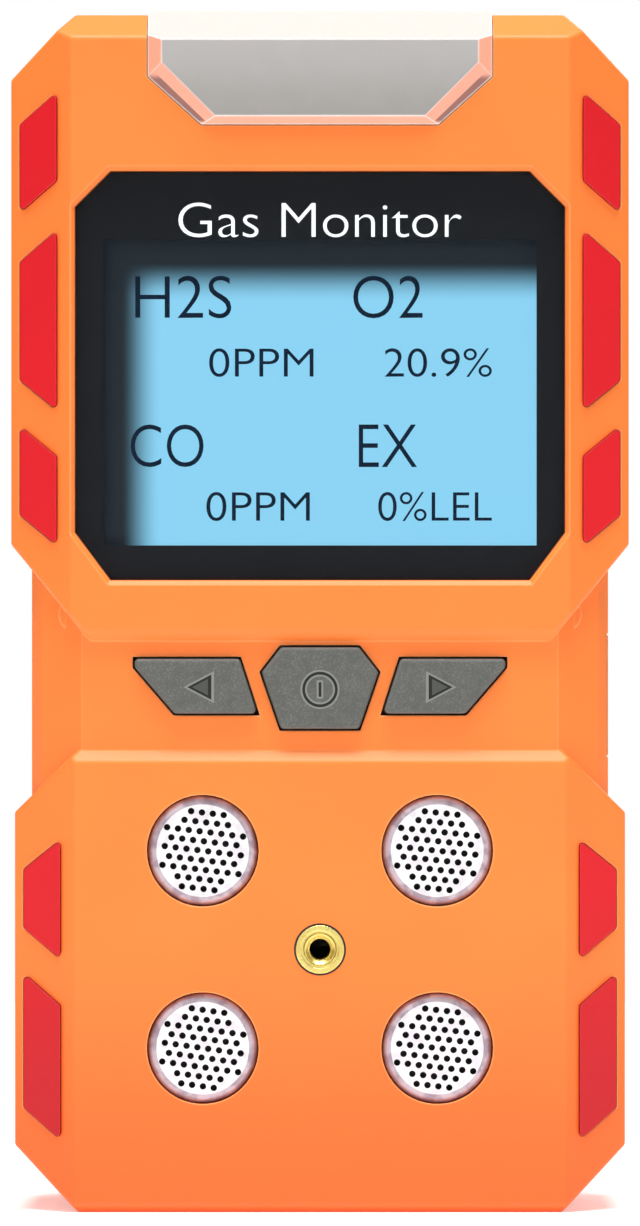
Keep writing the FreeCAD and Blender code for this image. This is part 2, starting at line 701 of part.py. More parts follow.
def make_insert(label, place, side, gap, part):
    """One coloured side insert, or with a gap the tool for its pocket. side is -1 left, +1 right."""
    block, top_slant, low_slant = INSERTS[place]
    edge, floor = (half, head_low) if block == "head" else (base_half, Dim.of(0))
    outer_x = edge - D.insert_edge_gap
    inner_x = outer_x - D.insert_width
    length_up = 1 / math.cos(math.atan2(D.facet_depth.value, D.facet_width.value))
    run = D.facet_depth / D.facet_width

    def on_facet(x, lift):
        return front + (x - (edge - D.facet_width)) * run - lift * length_up

    high = floor + getattr(D, f"insert_{place}_rise")
    low = high - getattr(D, f"insert_{place}_length")
    outline = [
        (inner_x, low + low_slant * D.insert_slant),
        (outer_x, low),
        (outer_x, high),
        (inner_x, high + top_slant * D.insert_slant),
    ]
    if gap is not None:
        outline = grow(outline, gap)
    lowest, highest = low - D.insert_slant - CLEAR, high + D.insert_slant + CLEAR
    far_in, far_out = inner_x - CLEAR, outer_x + CLEAR
    proud = D.insert_proud if part else D.insert_proud + CLEAR
    deep = D.insert_depth if part else D.insert_depth + gap
    slab = [
        (far_in, on_facet(far_in, proud)),
        (far_out, on_facet(far_out, proud)),
        (far_out, on_facet(far_out, -deep)),
        (far_in, on_facet(far_in, -deep)),
    ]
    if side < 0:
        outline, slab = mirrored(outline), mirrored(slab)
    band = new_body(f"{label}_band", part=False)
    extrude(band, "z", lowest, highest, [slab])
    piece = new_body(label, part=part)
    extrude(piece, "y", front - CLEAR - CLEAR, Dim.of(0) - CLEAR, [outline])
    dress(piece, "Fillet", D.insert_round if part else D.insert_round + gap,
          lambda e: abs(abs(e.tangentAt(e.FirstParameter).y) - 1) < 1e-6)
    combine(piece, "Common", [band])
    return piece


insert_pockets = []
for side, side_name in ((-1, "left"), (1, "right")):
    for place in INSERTS:
        make_insert(f"insert_{side_name}_{place}", place, side, None, True)
        insert_pockets.append(make_insert(f"pocket_{side_name}_{place}", place, side, D.insert_gap, False))


def make_front_case():
    """Front shell: waist and two armour blocks, hollowed, with every opening of the front."""
    head = make_block("front_head", head_loop, half, head_low, top, front)
    bevel_across(head, top, front, front + D.brow_bevel_depth, top - D.brow_bevel_height)
    bevel_across(head, head_low, front, panel, head_low + D.step_bevel)
    dress(head, "Fillet", D.edge_round, outer_edges(0))
    base = make_block("front_base", base_loop, base_half, Dim.of(0), base_top, front)
    bevel_across(base, Dim.of(0), front, front + D.foot_bevel, D.foot_bevel)
    bevel_across(base, base_top, front, panel, base_top - D.step_bevel)
    dress(base, "Fillet", D.edge_round, outer_edges(0))

    case = new_body("front_case")
    core = front_core()
    before = core.Shape.Volume
    combine(case, "Fuse", [core, head, base])
    if case.Shape.Volume <= before or len(case.Shape.Solids) != 1:
        raise RuntimeError("the blocks and the waist of the front shell are not one solid")
    combine(case, "Cut", [make_cavity("front_cavity", inner_front)])

    # posts for the case screws, the main board and the calibration socket
    extrude(case, "y", -D.screw_boss_length, Dim.of(0),
            [Circle(x, z, D.screw_boss_radius) for x, z in screw_spots])
    extrude(case, "y", inner_front - 0.5, board_front,
            [Circle(x, z, D.board_boss_radius) for x, z in board_screw_spots])
    nut_back = front + D.nut_length
    extrude(case, "y", inner_front - 0.5, nut_back,
            [Circle(Dim.of(0), sensor_middle, D.nut_radius + D.boss_wall)])

    # thread holes
    insert_room = D.thread_insert_length + 1.0
    extrude(case, "y", -insert_room, Dim.of(0),
            [Circle(x, z, D.thread_insert_radius) for x, z in screw_spots], cut=True)
    extrude(case, "y", board_front - D.board_screw_length, board_front,
            [Circle(x, z, D.board_screw_radius) for x, z in board_screw_spots], cut=True)

    # display opening and the pocket of the lens
    pocket = grow(lens_loop, D.lens_gap)
    extrude(case, "y", front - CLEAR, mask_back, [pocket], cut=True)
    opening = box_loop(-view_half - D.opening_margin, view_low - D.opening_margin,
                       view_half + D.opening_margin, view_high + D.opening_margin)
    extrude(case, "y", mask_back - CLEAR, inner_front + CLEAR, [opening], cut=True)

    # keys, gas inlets, calibration socket
    extrude(case, "y", front - CLEAR, inner_front + CLEAR,
            [grow(loop, D.key_gap) for loop, _ in keys.values()], cut=True)
    extrude(case, "y", front - CLEAR, inner_front + CLEAR,
            [Circle(x, z, D.cap_radius + D.cap_gap) for x, z in sensor_spots.values()], cut=True)
    extrude(case, "y", front - CLEAR, nut_back + CLEAR,
            [Circle(Dim.of(0), sensor_middle, D.nut_radius + D.fit_gap / 2)], cut=True)

    # alarm window across the top edge
    extrude(case, "y", front - CLEAR, window_back + D.window_gap, [grow(window_loop, D.window_gap)], cut=True)

    # side inserts
    combine(case, "Cut", insert_pockets)

    # charging socket: a recess for its cover in the side wall, and the opening through the wall
    recess = box_loop(cover_low_y - D.cover_gap, usb_z - D.cover_height / 2 - D.cover_gap,
                      cover_high_y + D.cover_gap, usb_z + D.cover_height / 2 + D.cover_gap)
    extrude(case, "x", waist_half - D.cover_thickness, waist_half + CLEAR, [recess], cut=True)
    mouth = box_loop(usb_y - D.usb_thickness / 2 - D.cover_gap, usb_z - D.usb_height / 2 - D.cover_gap,
                     usb_y + D.usb_thickness / 2 + D.cover_gap, usb_z + D.usb_height / 2 + D.cover_gap)
    extrude(case, "x", cavity_half - 0.5, waist_half + CLEAR, [mouth], cut=True)

    # groove for the case seal
    extrude(case, "y", -D.seal_thickness, Dim.of(0),
            [seal_loop(D.groove_inset + D.seal_width), seal_loop(D.groove_inset)], cut=True)

    # bevelled lip round the lens
    loft(case, front + D.lens_chamfer, pocket, front - 0.02, grow(pocket, D.lens_chamfer + 0.02), cut=True)
    return case


def seal_loop(offset):
    """The inner wall's outline moved outwards, at the joint plane."""
    return grow(cavity_loop, offset)


def make_rear_case():
    """Rear shell: waist and two blocks, hollowed, with screw columns and the seats of clip and label."""
    head = make_block("rear_head", head_loop, half, head_low, top, rear)
    base = make_block("rear_base", base_loop, base_half, Dim.of(0), base_top, rear)
    for block, edge, height in ((head, top, top - D.foot_bevel), (base, Dim.of(0), D.foot_bevel)):
        bevel_across(block, edge, rear, rear - D.foot_bevel, height)
    waist_edges = ((head, head_low, head_low + D.step_bevel), (base, base_top, base_top - D.step_bevel))
    for block, edge, height in waist_edges:
        bevel_across(block, edge, rear, rear - D.panel_recess, height)
    for block in (head, base):
        dress(block, "Fillet", D.edge_round, outer_edges(0))
    case = new_body("rear_case")
    combine(case, "Fuse", [rear_core(), head, base])
    combine(case, "Cut", [make_cavity("rear_cavity", rear_floor)])

    # screw columns, posts behind the sensor board, bosses for the clip screws
    extrude(case, "y", Dim.of(0), rear - D.screw_sink,
            [Circle(x, z, D.screw_boss_radius) for x, z in screw_spots])
    extrude(case, "y", sensor_board_back + D.fit_gap, inner_rear,
            [Circle(Dim.of(0), z, 2.0) for z in (sensor_low, sensor_high)])
    clip_boss_depth = 5.0
    extrude(case, "y", rear - clip_boss_depth, inner_rear, [Circle(x, z, 3.0) for x, z in clip_screw_spots])
    extrude(case, "y", Dim.of(0) - CLEAR, rear,
            [Circle(x, z, D.screw_radius + 0.15) for x, z in screw_spots], cut=True)
    extrude(case, "y", rear - D.screw_sink, rear + CLEAR,
            [Circle(x, z, D.screw_head_radius + 0.3) for x, z in screw_spots], cut=True)
    extrude(case, "y", rear - clip_boss_depth + 0.6, rear + CLEAR,
            [Circle(x, z, D.clip_screw_radius + D.fit_gap / 2) for x, z in clip_screw_spots], cut=True)

    # cradle of the vibration motor
    cradle_low, cradle_high = alert_z - D.motor_radius - 1.0, alert_z + D.motor_radius + 1.0
    extrude(case, "x", motor_start + 2.0, motor_end - 2.0,
            [box_loop(motor_y, cradle_low, inner_rear, cradle_high)])
    extrude(case, "x", motor_start, motor_end,
            [Circle(motor_y, alert_z, D.motor_radius + D.fit_gap / 2)], cut=True)

    # sounder slots and the seat of the rating plate
    slots = [box_loop(sounder_x - 3.5, alert_z + rise - 0.45, sounder_x + 3.5, alert_z + rise + 0.45)
             for rise in (-2.2, 0.0, 2.2)]
    extrude(case, "y", inner_rear - CLEAR, rear + CLEAR, slots, cut=True)
    plate = box_loop(-D.label_half, D.label_rise, D.label_half, D.label_rise + D.label_height)
    extrude(case, "y", rear - D.label_thickness, rear + CLEAR, [grow(plate, D.fit_gap)], cut=True)
    return case


make_front_case()
make_rear_case()


def make_case_seal():
    """Silicone cord in the groove between the shells."""
    seal = new_body("case_seal")
    extrude(seal, "y", -D.seal_thickness, Dim.of(0),
            [seal_loop(D.groove_inset + D.seal_width - D.fit_gap), seal_loop(D.groove_inset + D.fit_gap)])


make_case_seal()


# ---------------------------------------------------------------- display

def make_display():
    """Lens with its printed border, display glass, backlight and the tray that holds them."""
    lens = new_body("display_lens")
    extrude(lens, "y", lens_face, lens_back, [lens_loop])
    dress(lens, "Chamfer", Dim.of(0.2), edge_at("y", lens_face))

    view = box_loop(-view_half, view_low, view_half, view_high)
    mask = new_body("lens_mask")
    extrude(mask, "y", lens_back, mask_back, [lens_loop, view])

    glass_loop = grow(view, D.display_border)
    glass = new_body("display_glass")
    extrude(glass, "y", display_front, display_back, [glass_loop])
    light = new_body("display_backlight")
    extrude(light, "y", display_back, light_back, [glass_loop])

    tray = new_body("display_tray")
    extrude(tray, "y", display_front, board_front, [grow(glass_loop, D.tray_wall)])
    extrude(tray, "y", display_front - CLEAR, light_back, [grow(glass_loop, D.fit_gap)], cut=True)


make_display()


# ---------------------------------------------------------------- main board and what is on it

def make_main_board():
    """Main board with a tongue that carries the alarm lights."""
    board = new_body("main_board")
    tongue_top = cavity_high - D.tongue_gap
    right = [
        (board_half, board_low),
        (board_half, board_high),
        (D.tongue_half, board_high),
        (D.tongue_half, tongue_top),
    ]
    extrude(board, "y", board_front, board_back, [right + [(-x, z) for x, z in reversed(right)]])
    extrude(board, "y", board_front - CLEAR, board_back + CLEAR,
            [Circle(x, z, D.board_screw_radius + 0.15) for x, z in board_screw_spots], cut=True)
    dress(board, "Fillet", Dim.of(1.0), lambda e: e.Length < D.board_thickness.value + 1e-3
          and abs(abs(e.CenterOfMass.x) - board_half.value) < 1e-3)


def make_board_screws():
    """Pan-head screws that hold the main board, as one group."""
    screws = new_body("board_screws")
    head_radius, head_height = D.board_screw_radius + 0.9, 1.1
    extrude(screws, "y", board_back, board_back + head_height,
            [Circle(x, z, head_radius) for x, z in board_screw_spots])
    extrude(screws, "y", board_front - D.board_screw_length + 0.4, board_back,
            [Circle(x, z, D.board_screw_radius - D.fit_gap) for x, z in board_screw_spots])
    dress(screws, "Fillet", Dim.of(0.35), edge_at("y", board_back + head_height))
    cross_screws(screws, board_screw_spots, board_back + head_height, 0.6, 1.1, 0.32)


def cross_screws(screws, spots, face, depth, reach, width):
    """Cross recesses in screw heads whose faces look along +Y."""
    for along_x in (True, False):
        across, up = (reach, width / 2) if along_x else (width / 2, reach)
        slots = [box_loop(x - across, z - up, x + across, z + up) for x, z in spots]
        extrude(screws, "y", face - depth, face + CLEAR, slots, cut=True)


def make_alarm_lights():
    """Red light-emitting diodes behind the alarm window, as one group."""
    lights = new_body("alarm_lights")
    row_z = cavity_high - D.tongue_gap - 2.6
    spots = [Dim.of(x) for x in (-12.0, -4.0, 4.0, 12.0)]
    extrude(lights, "y", board_front - 1.9, board_front,
            [box_loop(x - 1.75, row_z - 1.4, x + 1.75, row_z + 1.4) for x in spots])
    extrude(lights, "y", board_front - 2.3, board_front - 1.9, [Circle(x, row_z, 1.2) for x in spots])


def make_board_chips():
    """Controller, memory, charger, coil and crystal on the back of the main board, as one group."""
    chips = new_body("board_chips")
    middle = (board_low + board_high) / 2
    for x, rise, across, up, tall in (
        (-8.0, 8.0, 10.0, 10.0, 1.4), (8.0, 10.0, 6.0, 5.0, 1.2), (10.0, -2.0, 5.0, 5.0, 2.6),
        (-14.0, -8.0, 5.0, 3.2, 1.2), (2.0, -10.0, 7.0, 7.0, 1.0), (-20.5, 14.0, 4.0, 6.0, 1.6),
    ):
        chip = box_loop(Dim.of(x - across / 2), middle + (rise - up / 2),
                        Dim.of(x + across / 2), middle + (rise + up / 2))
        extrude(chips, "y", board_back, board_back + tall, [chip])


make_main_board()
make_board_screws()
make_alarm_lights()
make_board_chips()


# ---------------------------------------------------------------- keys

switch_front = board_front - D.switch_height
plunger_face = switch_front - D.plunger_proud


def make_keys():
    """Three rubber keys, the plungers that they press, and the tact switches."""
    key_face = panel - D.key_proud
    flange_front = inner_front + D.key_play
    flange_back = flange_front + D.key_flange_thickness
    for name, (loop, centre) in keys.items():
        key = new_body(f"button_{name}")
        extrude(key, "y", key_face, flange_back, [loop])
        dress(key, "Fillet", D.key_round, lambda e: abs(abs(e.tangentAt(e.FirstParameter).y) - 1) < 1e-6)
        dress(key, "Fillet", D.key_round * 0.8, edge_at("y", key_face))
        extrude(key, "y", flange_front, flange_back, [grow(loop, D.key_flange)])
        extrude(key, "y", flange_back, plunger_face, [Circle(centre, keys_z, D.stem_radius)])
        plunger = new_body(f"plunger_{name}")
        extrude(plunger, "y", plunger_face, switch_front + D.plunger_depth,
                [Circle(centre, keys_z, D.stem_radius)])

    switches = new_body("tact_switches")
    reach = D.switch_size / 2
    centres = [centre for _, centre in keys.values()]
    extrude(switches, "y", switch_front, board_front,
            [box_loop(x - reach, keys_z - reach, x + reach, keys_z + reach) for x in centres])
    room = D.plunger_depth + D.button_travel + 0.2
    extrude(switches, "y", switch_front - CLEAR, switch_front + room,
            [Circle(x, keys_z, D.stem_radius + D.plunger_gap) for x in centres], cut=True)

    mat = new_body("keypad_seal")
    mat_half = side_key_outer + D.mat_border
    holes = [grow(loop, D.key_flange + D.mat_gap) for loop, _ in keys.values()]
    extrude(mat, "y", inner_front + D.fit_gap, inner_front + D.fit_gap + 0.6,
            [box_loop(-mat_half, keys_z - D.power_key_low - 1.5, mat_half, keys_z + D.power_key_high + 2.0)])
    for hole in holes:
        extrude(mat, "y", inner_front - CLEAR, inner_front + CLEAR, [hole], cut=True)


make_keys()


# ---------------------------------------------------------------- gas inlets, sensors and their board

def make_inlet_cap(label, x, z):
    """A pressed steel cap: perforated face, rounded shoulder, skirt and a flange behind the wall."""
    cap = new_body(label)
    face = front + D.cap_recess
    flange_back = inner_front + D.fit_gap + D.cap_sheet
    inner = D.cap_radius - D.cap_sheet
    turn(cap, (x, z), [
        (face, Dim.of(0)), (face, D.cap_radius), (inner_front + D.fit_gap, D.cap_radius),
        (inner_front + D.fit_gap, D.cap_radius + D.cap_flange), (flange_back, D.cap_radius + D.cap_flange),
        (flange_back, inner), (face + D.cap_sheet, inner), (face + D.cap_sheet, Dim.of(0)),
    ])
    dress(cap, "Fillet", D.cap_shoulder - D.cap_sheet, edge_at("y", face + D.cap_sheet))
    dress(cap, "Fillet", D.cap_shoulder, edge_at("y", face))
    perforate(cap, x, z, face)


def perforate(cap, x, z, face):
    """Round holes on a hexagonal grid: the middle one, and a sixth of the rest turned six times."""
    reach = D.mesh_radius.value - D.hole_radius.value
    pitch = D.hole_pitch.value
    steps = range(int(reach / pitch) + 1)
    sixth = [(i, j) for i in steps for j in steps
             if i > 0 and pitch * math.sqrt(i * i + i * j + j * j) <= reach]
    before = cap.Shape.Volume
    for spots, occurrences in (([(0, 0)], 1), (sixth, 6)):
        sketch = new_sketch(cap, "y", face + D.cap_sheet + 0.1, origin=(x, z))
        draw(sketch, [Circle(D.hole_pitch * (i + j / 2), D.hole_pitch * (j * math.sqrt(0.75)), D.hole_radius)
                      for i, j in spots])
        pocket = cap.newObject("PartDesign::Pocket", "holes")
        pocket.Profile = sketch
        pocket.Reversed = True
        bind(pocket, "Length", D.cap_sheet + CLEAR)
        if occurrences > 1:
            pattern = cap.newObject("PartDesign::PolarPattern", "hole_pattern")
            pattern.Originals = [pocket]
            pattern.Axis = (sketch, ["N_Axis"])
            pattern.Angle = 360
            pattern.Occurrences = occurrences
            cap.Tip = pattern
    finish_feature(cap, cap.Tip, before, True)
    expected = (1 + 6 * len(sixth)) * math.pi * D.hole_radius.value ** 2 * D.cap_sheet.value
    if abs(before - cap.Shape.Volume - expected) > 0.02 * expected:
        raise RuntimeError(f"{cap.Label} lost some of its holes")


def make_sensor(label, x, z):
    """A gas cell: a can with a stepped face and a small inlet."""
    cell = new_body(label)
    radius = D.sensor_diameter / 2
    step = 0.8
    turn(cell, (x, z), [
        (sensor_face + 0.5, Dim.of(0)), (sensor_face + 0.5, Dim.of(2.0)), (sensor_face, Dim.of(2.0)),
        (sensor_face, radius - step), (sensor_face + step, radius - step), (sensor_face + step, radius),
        (sensor_back, radius), (sensor_back, Dim.of(0)),
    ])
    dress(cell, "Fillet", Dim.of(0.4), edge_at("y", sensor_back))


def make_sensor_group():
    """Four inlets with their filters, seals, cells and pins, and the board that the cells plug into."""
    pins_at = []
    for number, (gas, (x, z)) in enumerate(sensor_spots.items(), start=1):
        make_inlet_cap(f"inlet_cap_{number}", x, z)
        make_sensor(f"sensor_{gas}", x, z)
        reach = D.pin_circle
        pins_at += [(x, z + reach), (x - reach * math.sqrt(0.75), z - reach / 2),
                    (x + reach * math.sqrt(0.75), z - reach / 2)]

    spots = list(sensor_spots.values())
    filters = new_body("dust_filters")
    filter_front = front + D.cap_recess + D.filter_setback
    extrude(filters, "y", filter_front, filter_front + D.filter_thickness,
            [Circle(x, z, D.cap_radius - D.cap_sheet - D.fit_gap) for x, z in spots])

    seals = new_body("sensor_seals")
    seal_radius = D.sensor_diameter / 2 - 0.8
    for loops, cut in (([Circle(x, z, seal_radius) for x, z in spots], False),
                       ([Circle(x, z, D.seal_inner) for x, z in spots], True)):
        extrude(seals, "y", inner_front + D.fit_gap + D.cap_sheet, sensor_face, loops, cut=cut)

    pins = new_body("sensor_pins")
    extrude(pins, "y", sensor_back, sensor_back + D.pin_length,
            [Circle(x, z, D.pin_radius) for x, z in pins_at])

    board = new_body("sensor_board")
    board_reach = sensor_x + D.sensor_diameter / 2 - 0.2
    extrude(board, "y", sensor_board_front, sensor_board_back,
            [box_loop(-board_reach, sensor_low - D.sensor_diameter / 2 + 2.0,
                      board_reach, sensor_high + D.sensor_diameter / 2 - 0.2)])
    extrude(board, "y", sensor_board_front - CLEAR, sensor_board_back + CLEAR,
            [Circle(x, z, D.pin_radius + D.fit_gap) for x, z in pins_at], cut=True)


make_sensor_group()


def make_calibration_socket():
    """Brass bush with a female thread, which holds the calibration hood over the four inlets."""
    nut = new_body("calibration_socket")
    face, back = front - D.nut_proud, front + D.nut_length
    groove_in, groove_out, groove_depth, mouth = D.nut_radius - 0.85, D.nut_radius - 0.55, 0.15, 0.35
    turn(nut, (Dim.of(0), sensor_middle), [
        (back, D.nut_bore), (face + mouth, D.nut_bore), (face, D.nut_bore + mouth),
        (face, groove_in), (face + groove_depth, groove_in), (face + groove_depth, groove_out),
        (face, groove_out), (face, D.nut_radius), (back, D.nut_radius),
    ])


make_calibration_socket()


# ---------------------------------------------------------------- alarm window

def make_alarm_window():
    """Frosted window that wraps from the front over the top edge, with a sloped rim."""
    window = new_body("alarm_window")
    face = front - D.window_proud
    extrude(window, "y", front, window_back, [window_loop])
    rim = D.window_rim
    inner = [
        (D.window_low_half - rim, top - D.window_height + rim * 0.6),
        (D.window_half - rim, top - D.window_side + rim),
        (D.window_half - rim, top + D.window_top_proud),
        (-D.window_half + rim, top + D.window_top_proud),
        (-D.window_half + rim, top - D.window_side + rim),
        (-D.window_low_half + rim, top - D.window_height + rim * 0.6),
    ]
    loft(window, front, window_loop, face, inner)

    # only a wall thick at the front and along the top
    hollow = box_loop(front + D.window_sheet, top - D.window_height - CLEAR,
                      window_back + CLEAR, top + D.window_top_proud - D.window_sheet)
    extrude(window, "x", -D.window_half - CLEAR, D.window_half + CLEAR, [hollow], cut=True)
    brow_low = top - D.brow_bevel_height - 0.3
    window_top = top + D.window_top_proud
    brow = [
        (face, brow_low), (face - CLEAR, brow_low), (face - CLEAR, window_top + CLEAR),
        (front + D.brow_bevel_depth, window_top + CLEAR), (front + D.brow_bevel_depth, window_top),
    ]
    extrude(window, "x", -D.window_half - CLEAR, D.window_half + CLEAR, [brow], cut=True)


make_alarm_window()


# ---------------------------------------------------------------- battery, sounder, motor

def make_battery():
    """Lithium pouch cell on two foam pads."""
    cell = new_body("battery")
    low = base_top + D.battery_rise
    back = inner_rear - D.battery_setback
    reach = D.battery_width / 2
    extrude(cell, "y", back - D.battery_thickness, back,
            [box_loop(-reach, low, reach, low + D.battery_height)])
    dress(cell, "Fillet", Dim.of(1.5), lambda e: abs(abs(e.tangentAt(e.FirstParameter).z) - 1) < 1e-6)
    pads = new_body("battery_pads")
    strips = [box_loop(-reach + 1.0, low + 2.0, -reach + 1.0 + D.pad_width, low + D.battery_height - 2.0),
              box_loop(reach - 1.0 - D.pad_width, low + 2.0, reach - 1.0, low + D.battery_height - 2.0)]
    extrude(pads, "y", back, rear_floor, strips)


def make_sounder():
    """Round sounder that faces the slots in the back."""
    sounder = new_body("sounder")
    port_radius, port_depth = Dim.of(1.2), 1.0
    turn(sounder, (sounder_x, alert_z), [
        (rear_floor - D.sounder_height, Dim.of(0)), (rear_floor - D.sounder_height, D.sounder_radius),
        (rear_floor, D.sounder_radius), (rear_floor, port_radius),
        (rear_floor - port_depth, port_radius), (rear_floor - port_depth, Dim.of(0)),
    ])
    dress(sounder, "Fillet", Dim.of(0.6), edge_at("y", rear_floor - D.sounder_height))


def make_motor():
    """Vibration motor: a can with its shaft along X, and the half-round weight on the shaft."""
    can = new_body("vibration_motor")
    extrude(can, "x", motor_start, motor_end, [Circle(motor_y, alert_z, D.motor_radius)])
    dress(can, "Fillet", Dim.of(0.4), edge_at("x", motor_start))
    extrude(can, "x", motor_end - CLEAR, motor_end + CLEAR,
            [Circle(motor_y, alert_z, D.shaft_radius + D.fit_gap)], cut=True)
    weight = new_body("vibration_weight")
    weight_start = motor_end + 0.4
    weight_end = weight_start + D.weight_length
    reach = D.motor_radius - 0.2
    extrude(weight, "x", motor_end - 1.5, weight_end, [Circle(motor_y, alert_z, D.shaft_radius)])
    extrude(weight, "x", weight_start, weight_end, [Circle(motor_y, alert_z, reach)])
    margin = reach + 1.0
    missing_half = box_loop(motor_y - margin, alert_z + 0.9, motor_y + margin, alert_z + margin)
    extrude(weight, "x", weight_start, weight_end + CLEAR, [missing_half], cut=True)


make_battery()
make_sounder()
make_motor()


# ---------------------------------------------------------------- charging socket and its cover

def make_charging_socket():
    """Metal socket on the back of the main board, and the hinged rubber cover in the side wall."""
    socket_face = cavity_half + 0.2
    socket = new_body("charging_socket")
    low_y, high_y = usb_y - D.usb_thickness / 2, usb_y + D.usb_thickness / 2
    low_z, high_z = usb_z - D.usb_height / 2, usb_z + D.usb_height / 2
    extrude(socket, "x", socket_face - D.usb_length, socket_face, [box_loop(low_y, low_z, high_y, high_z)])
    dress(socket, "Fillet", Dim.of(1.2), lambda e: abs(abs(e.tangentAt(e.FirstParameter).x) - 1) < 1e-6)
    shell = 0.35
    extrude(socket, "x", socket_face - 5.5, socket_face + CLEAR,
            [box_loop(low_y + shell, low_z + 1.2, high_y - shell, high_z - 1.2)], cut=True)
    extrude(socket, "x", socket_face - 6.0, socket_face - 0.6,
            [box_loop(usb_y - 0.35, usb_z - 3.0, usb_y + 0.35, usb_z + 3.0)])

    cover = new_body("charging_cover")
    inner_x = waist_half - D.cover_thickness + D.fit_gap
    bead = (waist_half - inner_x) / 2
    hinge_x = waist_half - bead
    hinge_y = cover_high_y - bead
    low_z, high_z = usb_z - D.cover_height / 2, usb_z + D.cover_height / 2
    extrude(cover, "x", inner_x, waist_half, [box_loop(cover_low_y, low_z, hinge_y, high_z)])
    dress(cover, "Fillet", Dim.of(0.4), lambda e: abs(e.CenterOfMass.y - cover_low_y.value) < 1e-3
          and abs(abs(e.tangentAt(e.FirstParameter).x) - 1) < 1e-6)
    extrude(cover, "z", low_z, high_z, [Circle(hinge_x, hinge_y, bead)])
    extrude(cover, "x", inner_x - 0.7, inner_x,
            [box_loop(usb_y - 1.0, usb_z - 3.6, usb_y + 1.0, usb_z + 3.6)])


make_charging_socket()


# ---------------------------------------------------------------- fasteners of the case

def make_case_screws():
    """Case screws and the brass inserts that they thread into, as two groups."""
    screws = new_body("case_screws")
    seat = rear - D.screw_sink
    extrude(screws, "y", seat, seat + D.screw_head_height,
            [Circle(x, z, D.screw_head_radius) for x, z in screw_spots])
    extrude(screws, "y", -D.thread_insert_length + 0.5, seat,
            [Circle(x, z, D.screw_radius) for x, z in screw_spots])
    dress(screws, "Fillet", Dim.of(0.5), edge_at("y", seat + D.screw_head_height))
    cross_screws(screws, screw_spots, seat + D.screw_head_height, 0.9, 1.35, 0.5)
    inserts = new_body("thread_inserts")
    extrude(inserts, "y", -D.thread_insert_length - 0.6, Dim.of(0) - 0.3,
            [Circle(x, z, D.thread_insert_radius - D.fit_gap / 2) for x, z in screw_spots])
    extrude(inserts, "y", -D.thread_insert_length - CLEAR, Dim.of(0),
            [Circle(x, z, D.screw_radius + 0.04) for x, z in screw_spots], cut=True)


make_case_screws()


# ---------------------------------------------------------------- ribbon, rating plate

def make_ribbon():
    """Flat cable from the main board over the sensors to the sensor board, with its two plugs."""
    ribbon = new_body("board_ribbon")
    high = board_low + 3.4
    start, bend = board_back + 1.6, sensor_board_back + 1.9
    low = sensor_high + D.sensor_diameter / 2 - 4.0
    sheet = 0.35
    extrude(ribbon, "x", Dim.of(-6.0), Dim.of(6.0), [[
        (start, high), (bend, high), (bend, low), (bend - sheet, low), (bend - sheet, high - sheet),
        (start, high - sheet),
    ]])
    extrude(ribbon, "y", board_back, start, [box_loop(Dim.of(-7.0), high - 2.2, Dim.of(7.0), high + 1.0)])
    extrude(ribbon, "y", sensor_board_back, bend - sheet,
            [box_loop(Dim.of(-7.0), low - 1.0, Dim.of(7.0), low + 2.0)])


def make_rating_plate():
    """Blank plate let into the back."""
    plate = new_body("rating_plate")
    extrude(plate, "y", rear - D.label_thickness, rear,
            [box_loop(-D.label_half, D.label_rise, D.label_half, D.label_rise + D.label_height)])
    dress(plate, "Fillet", Dim.of(1.0), lambda e: abs(abs(e.tangentAt(e.FirstParameter).y) - 1) < 1e-6)


make_ribbon()
make_rating_plate()


# ---------------------------------------------------------------- belt clip

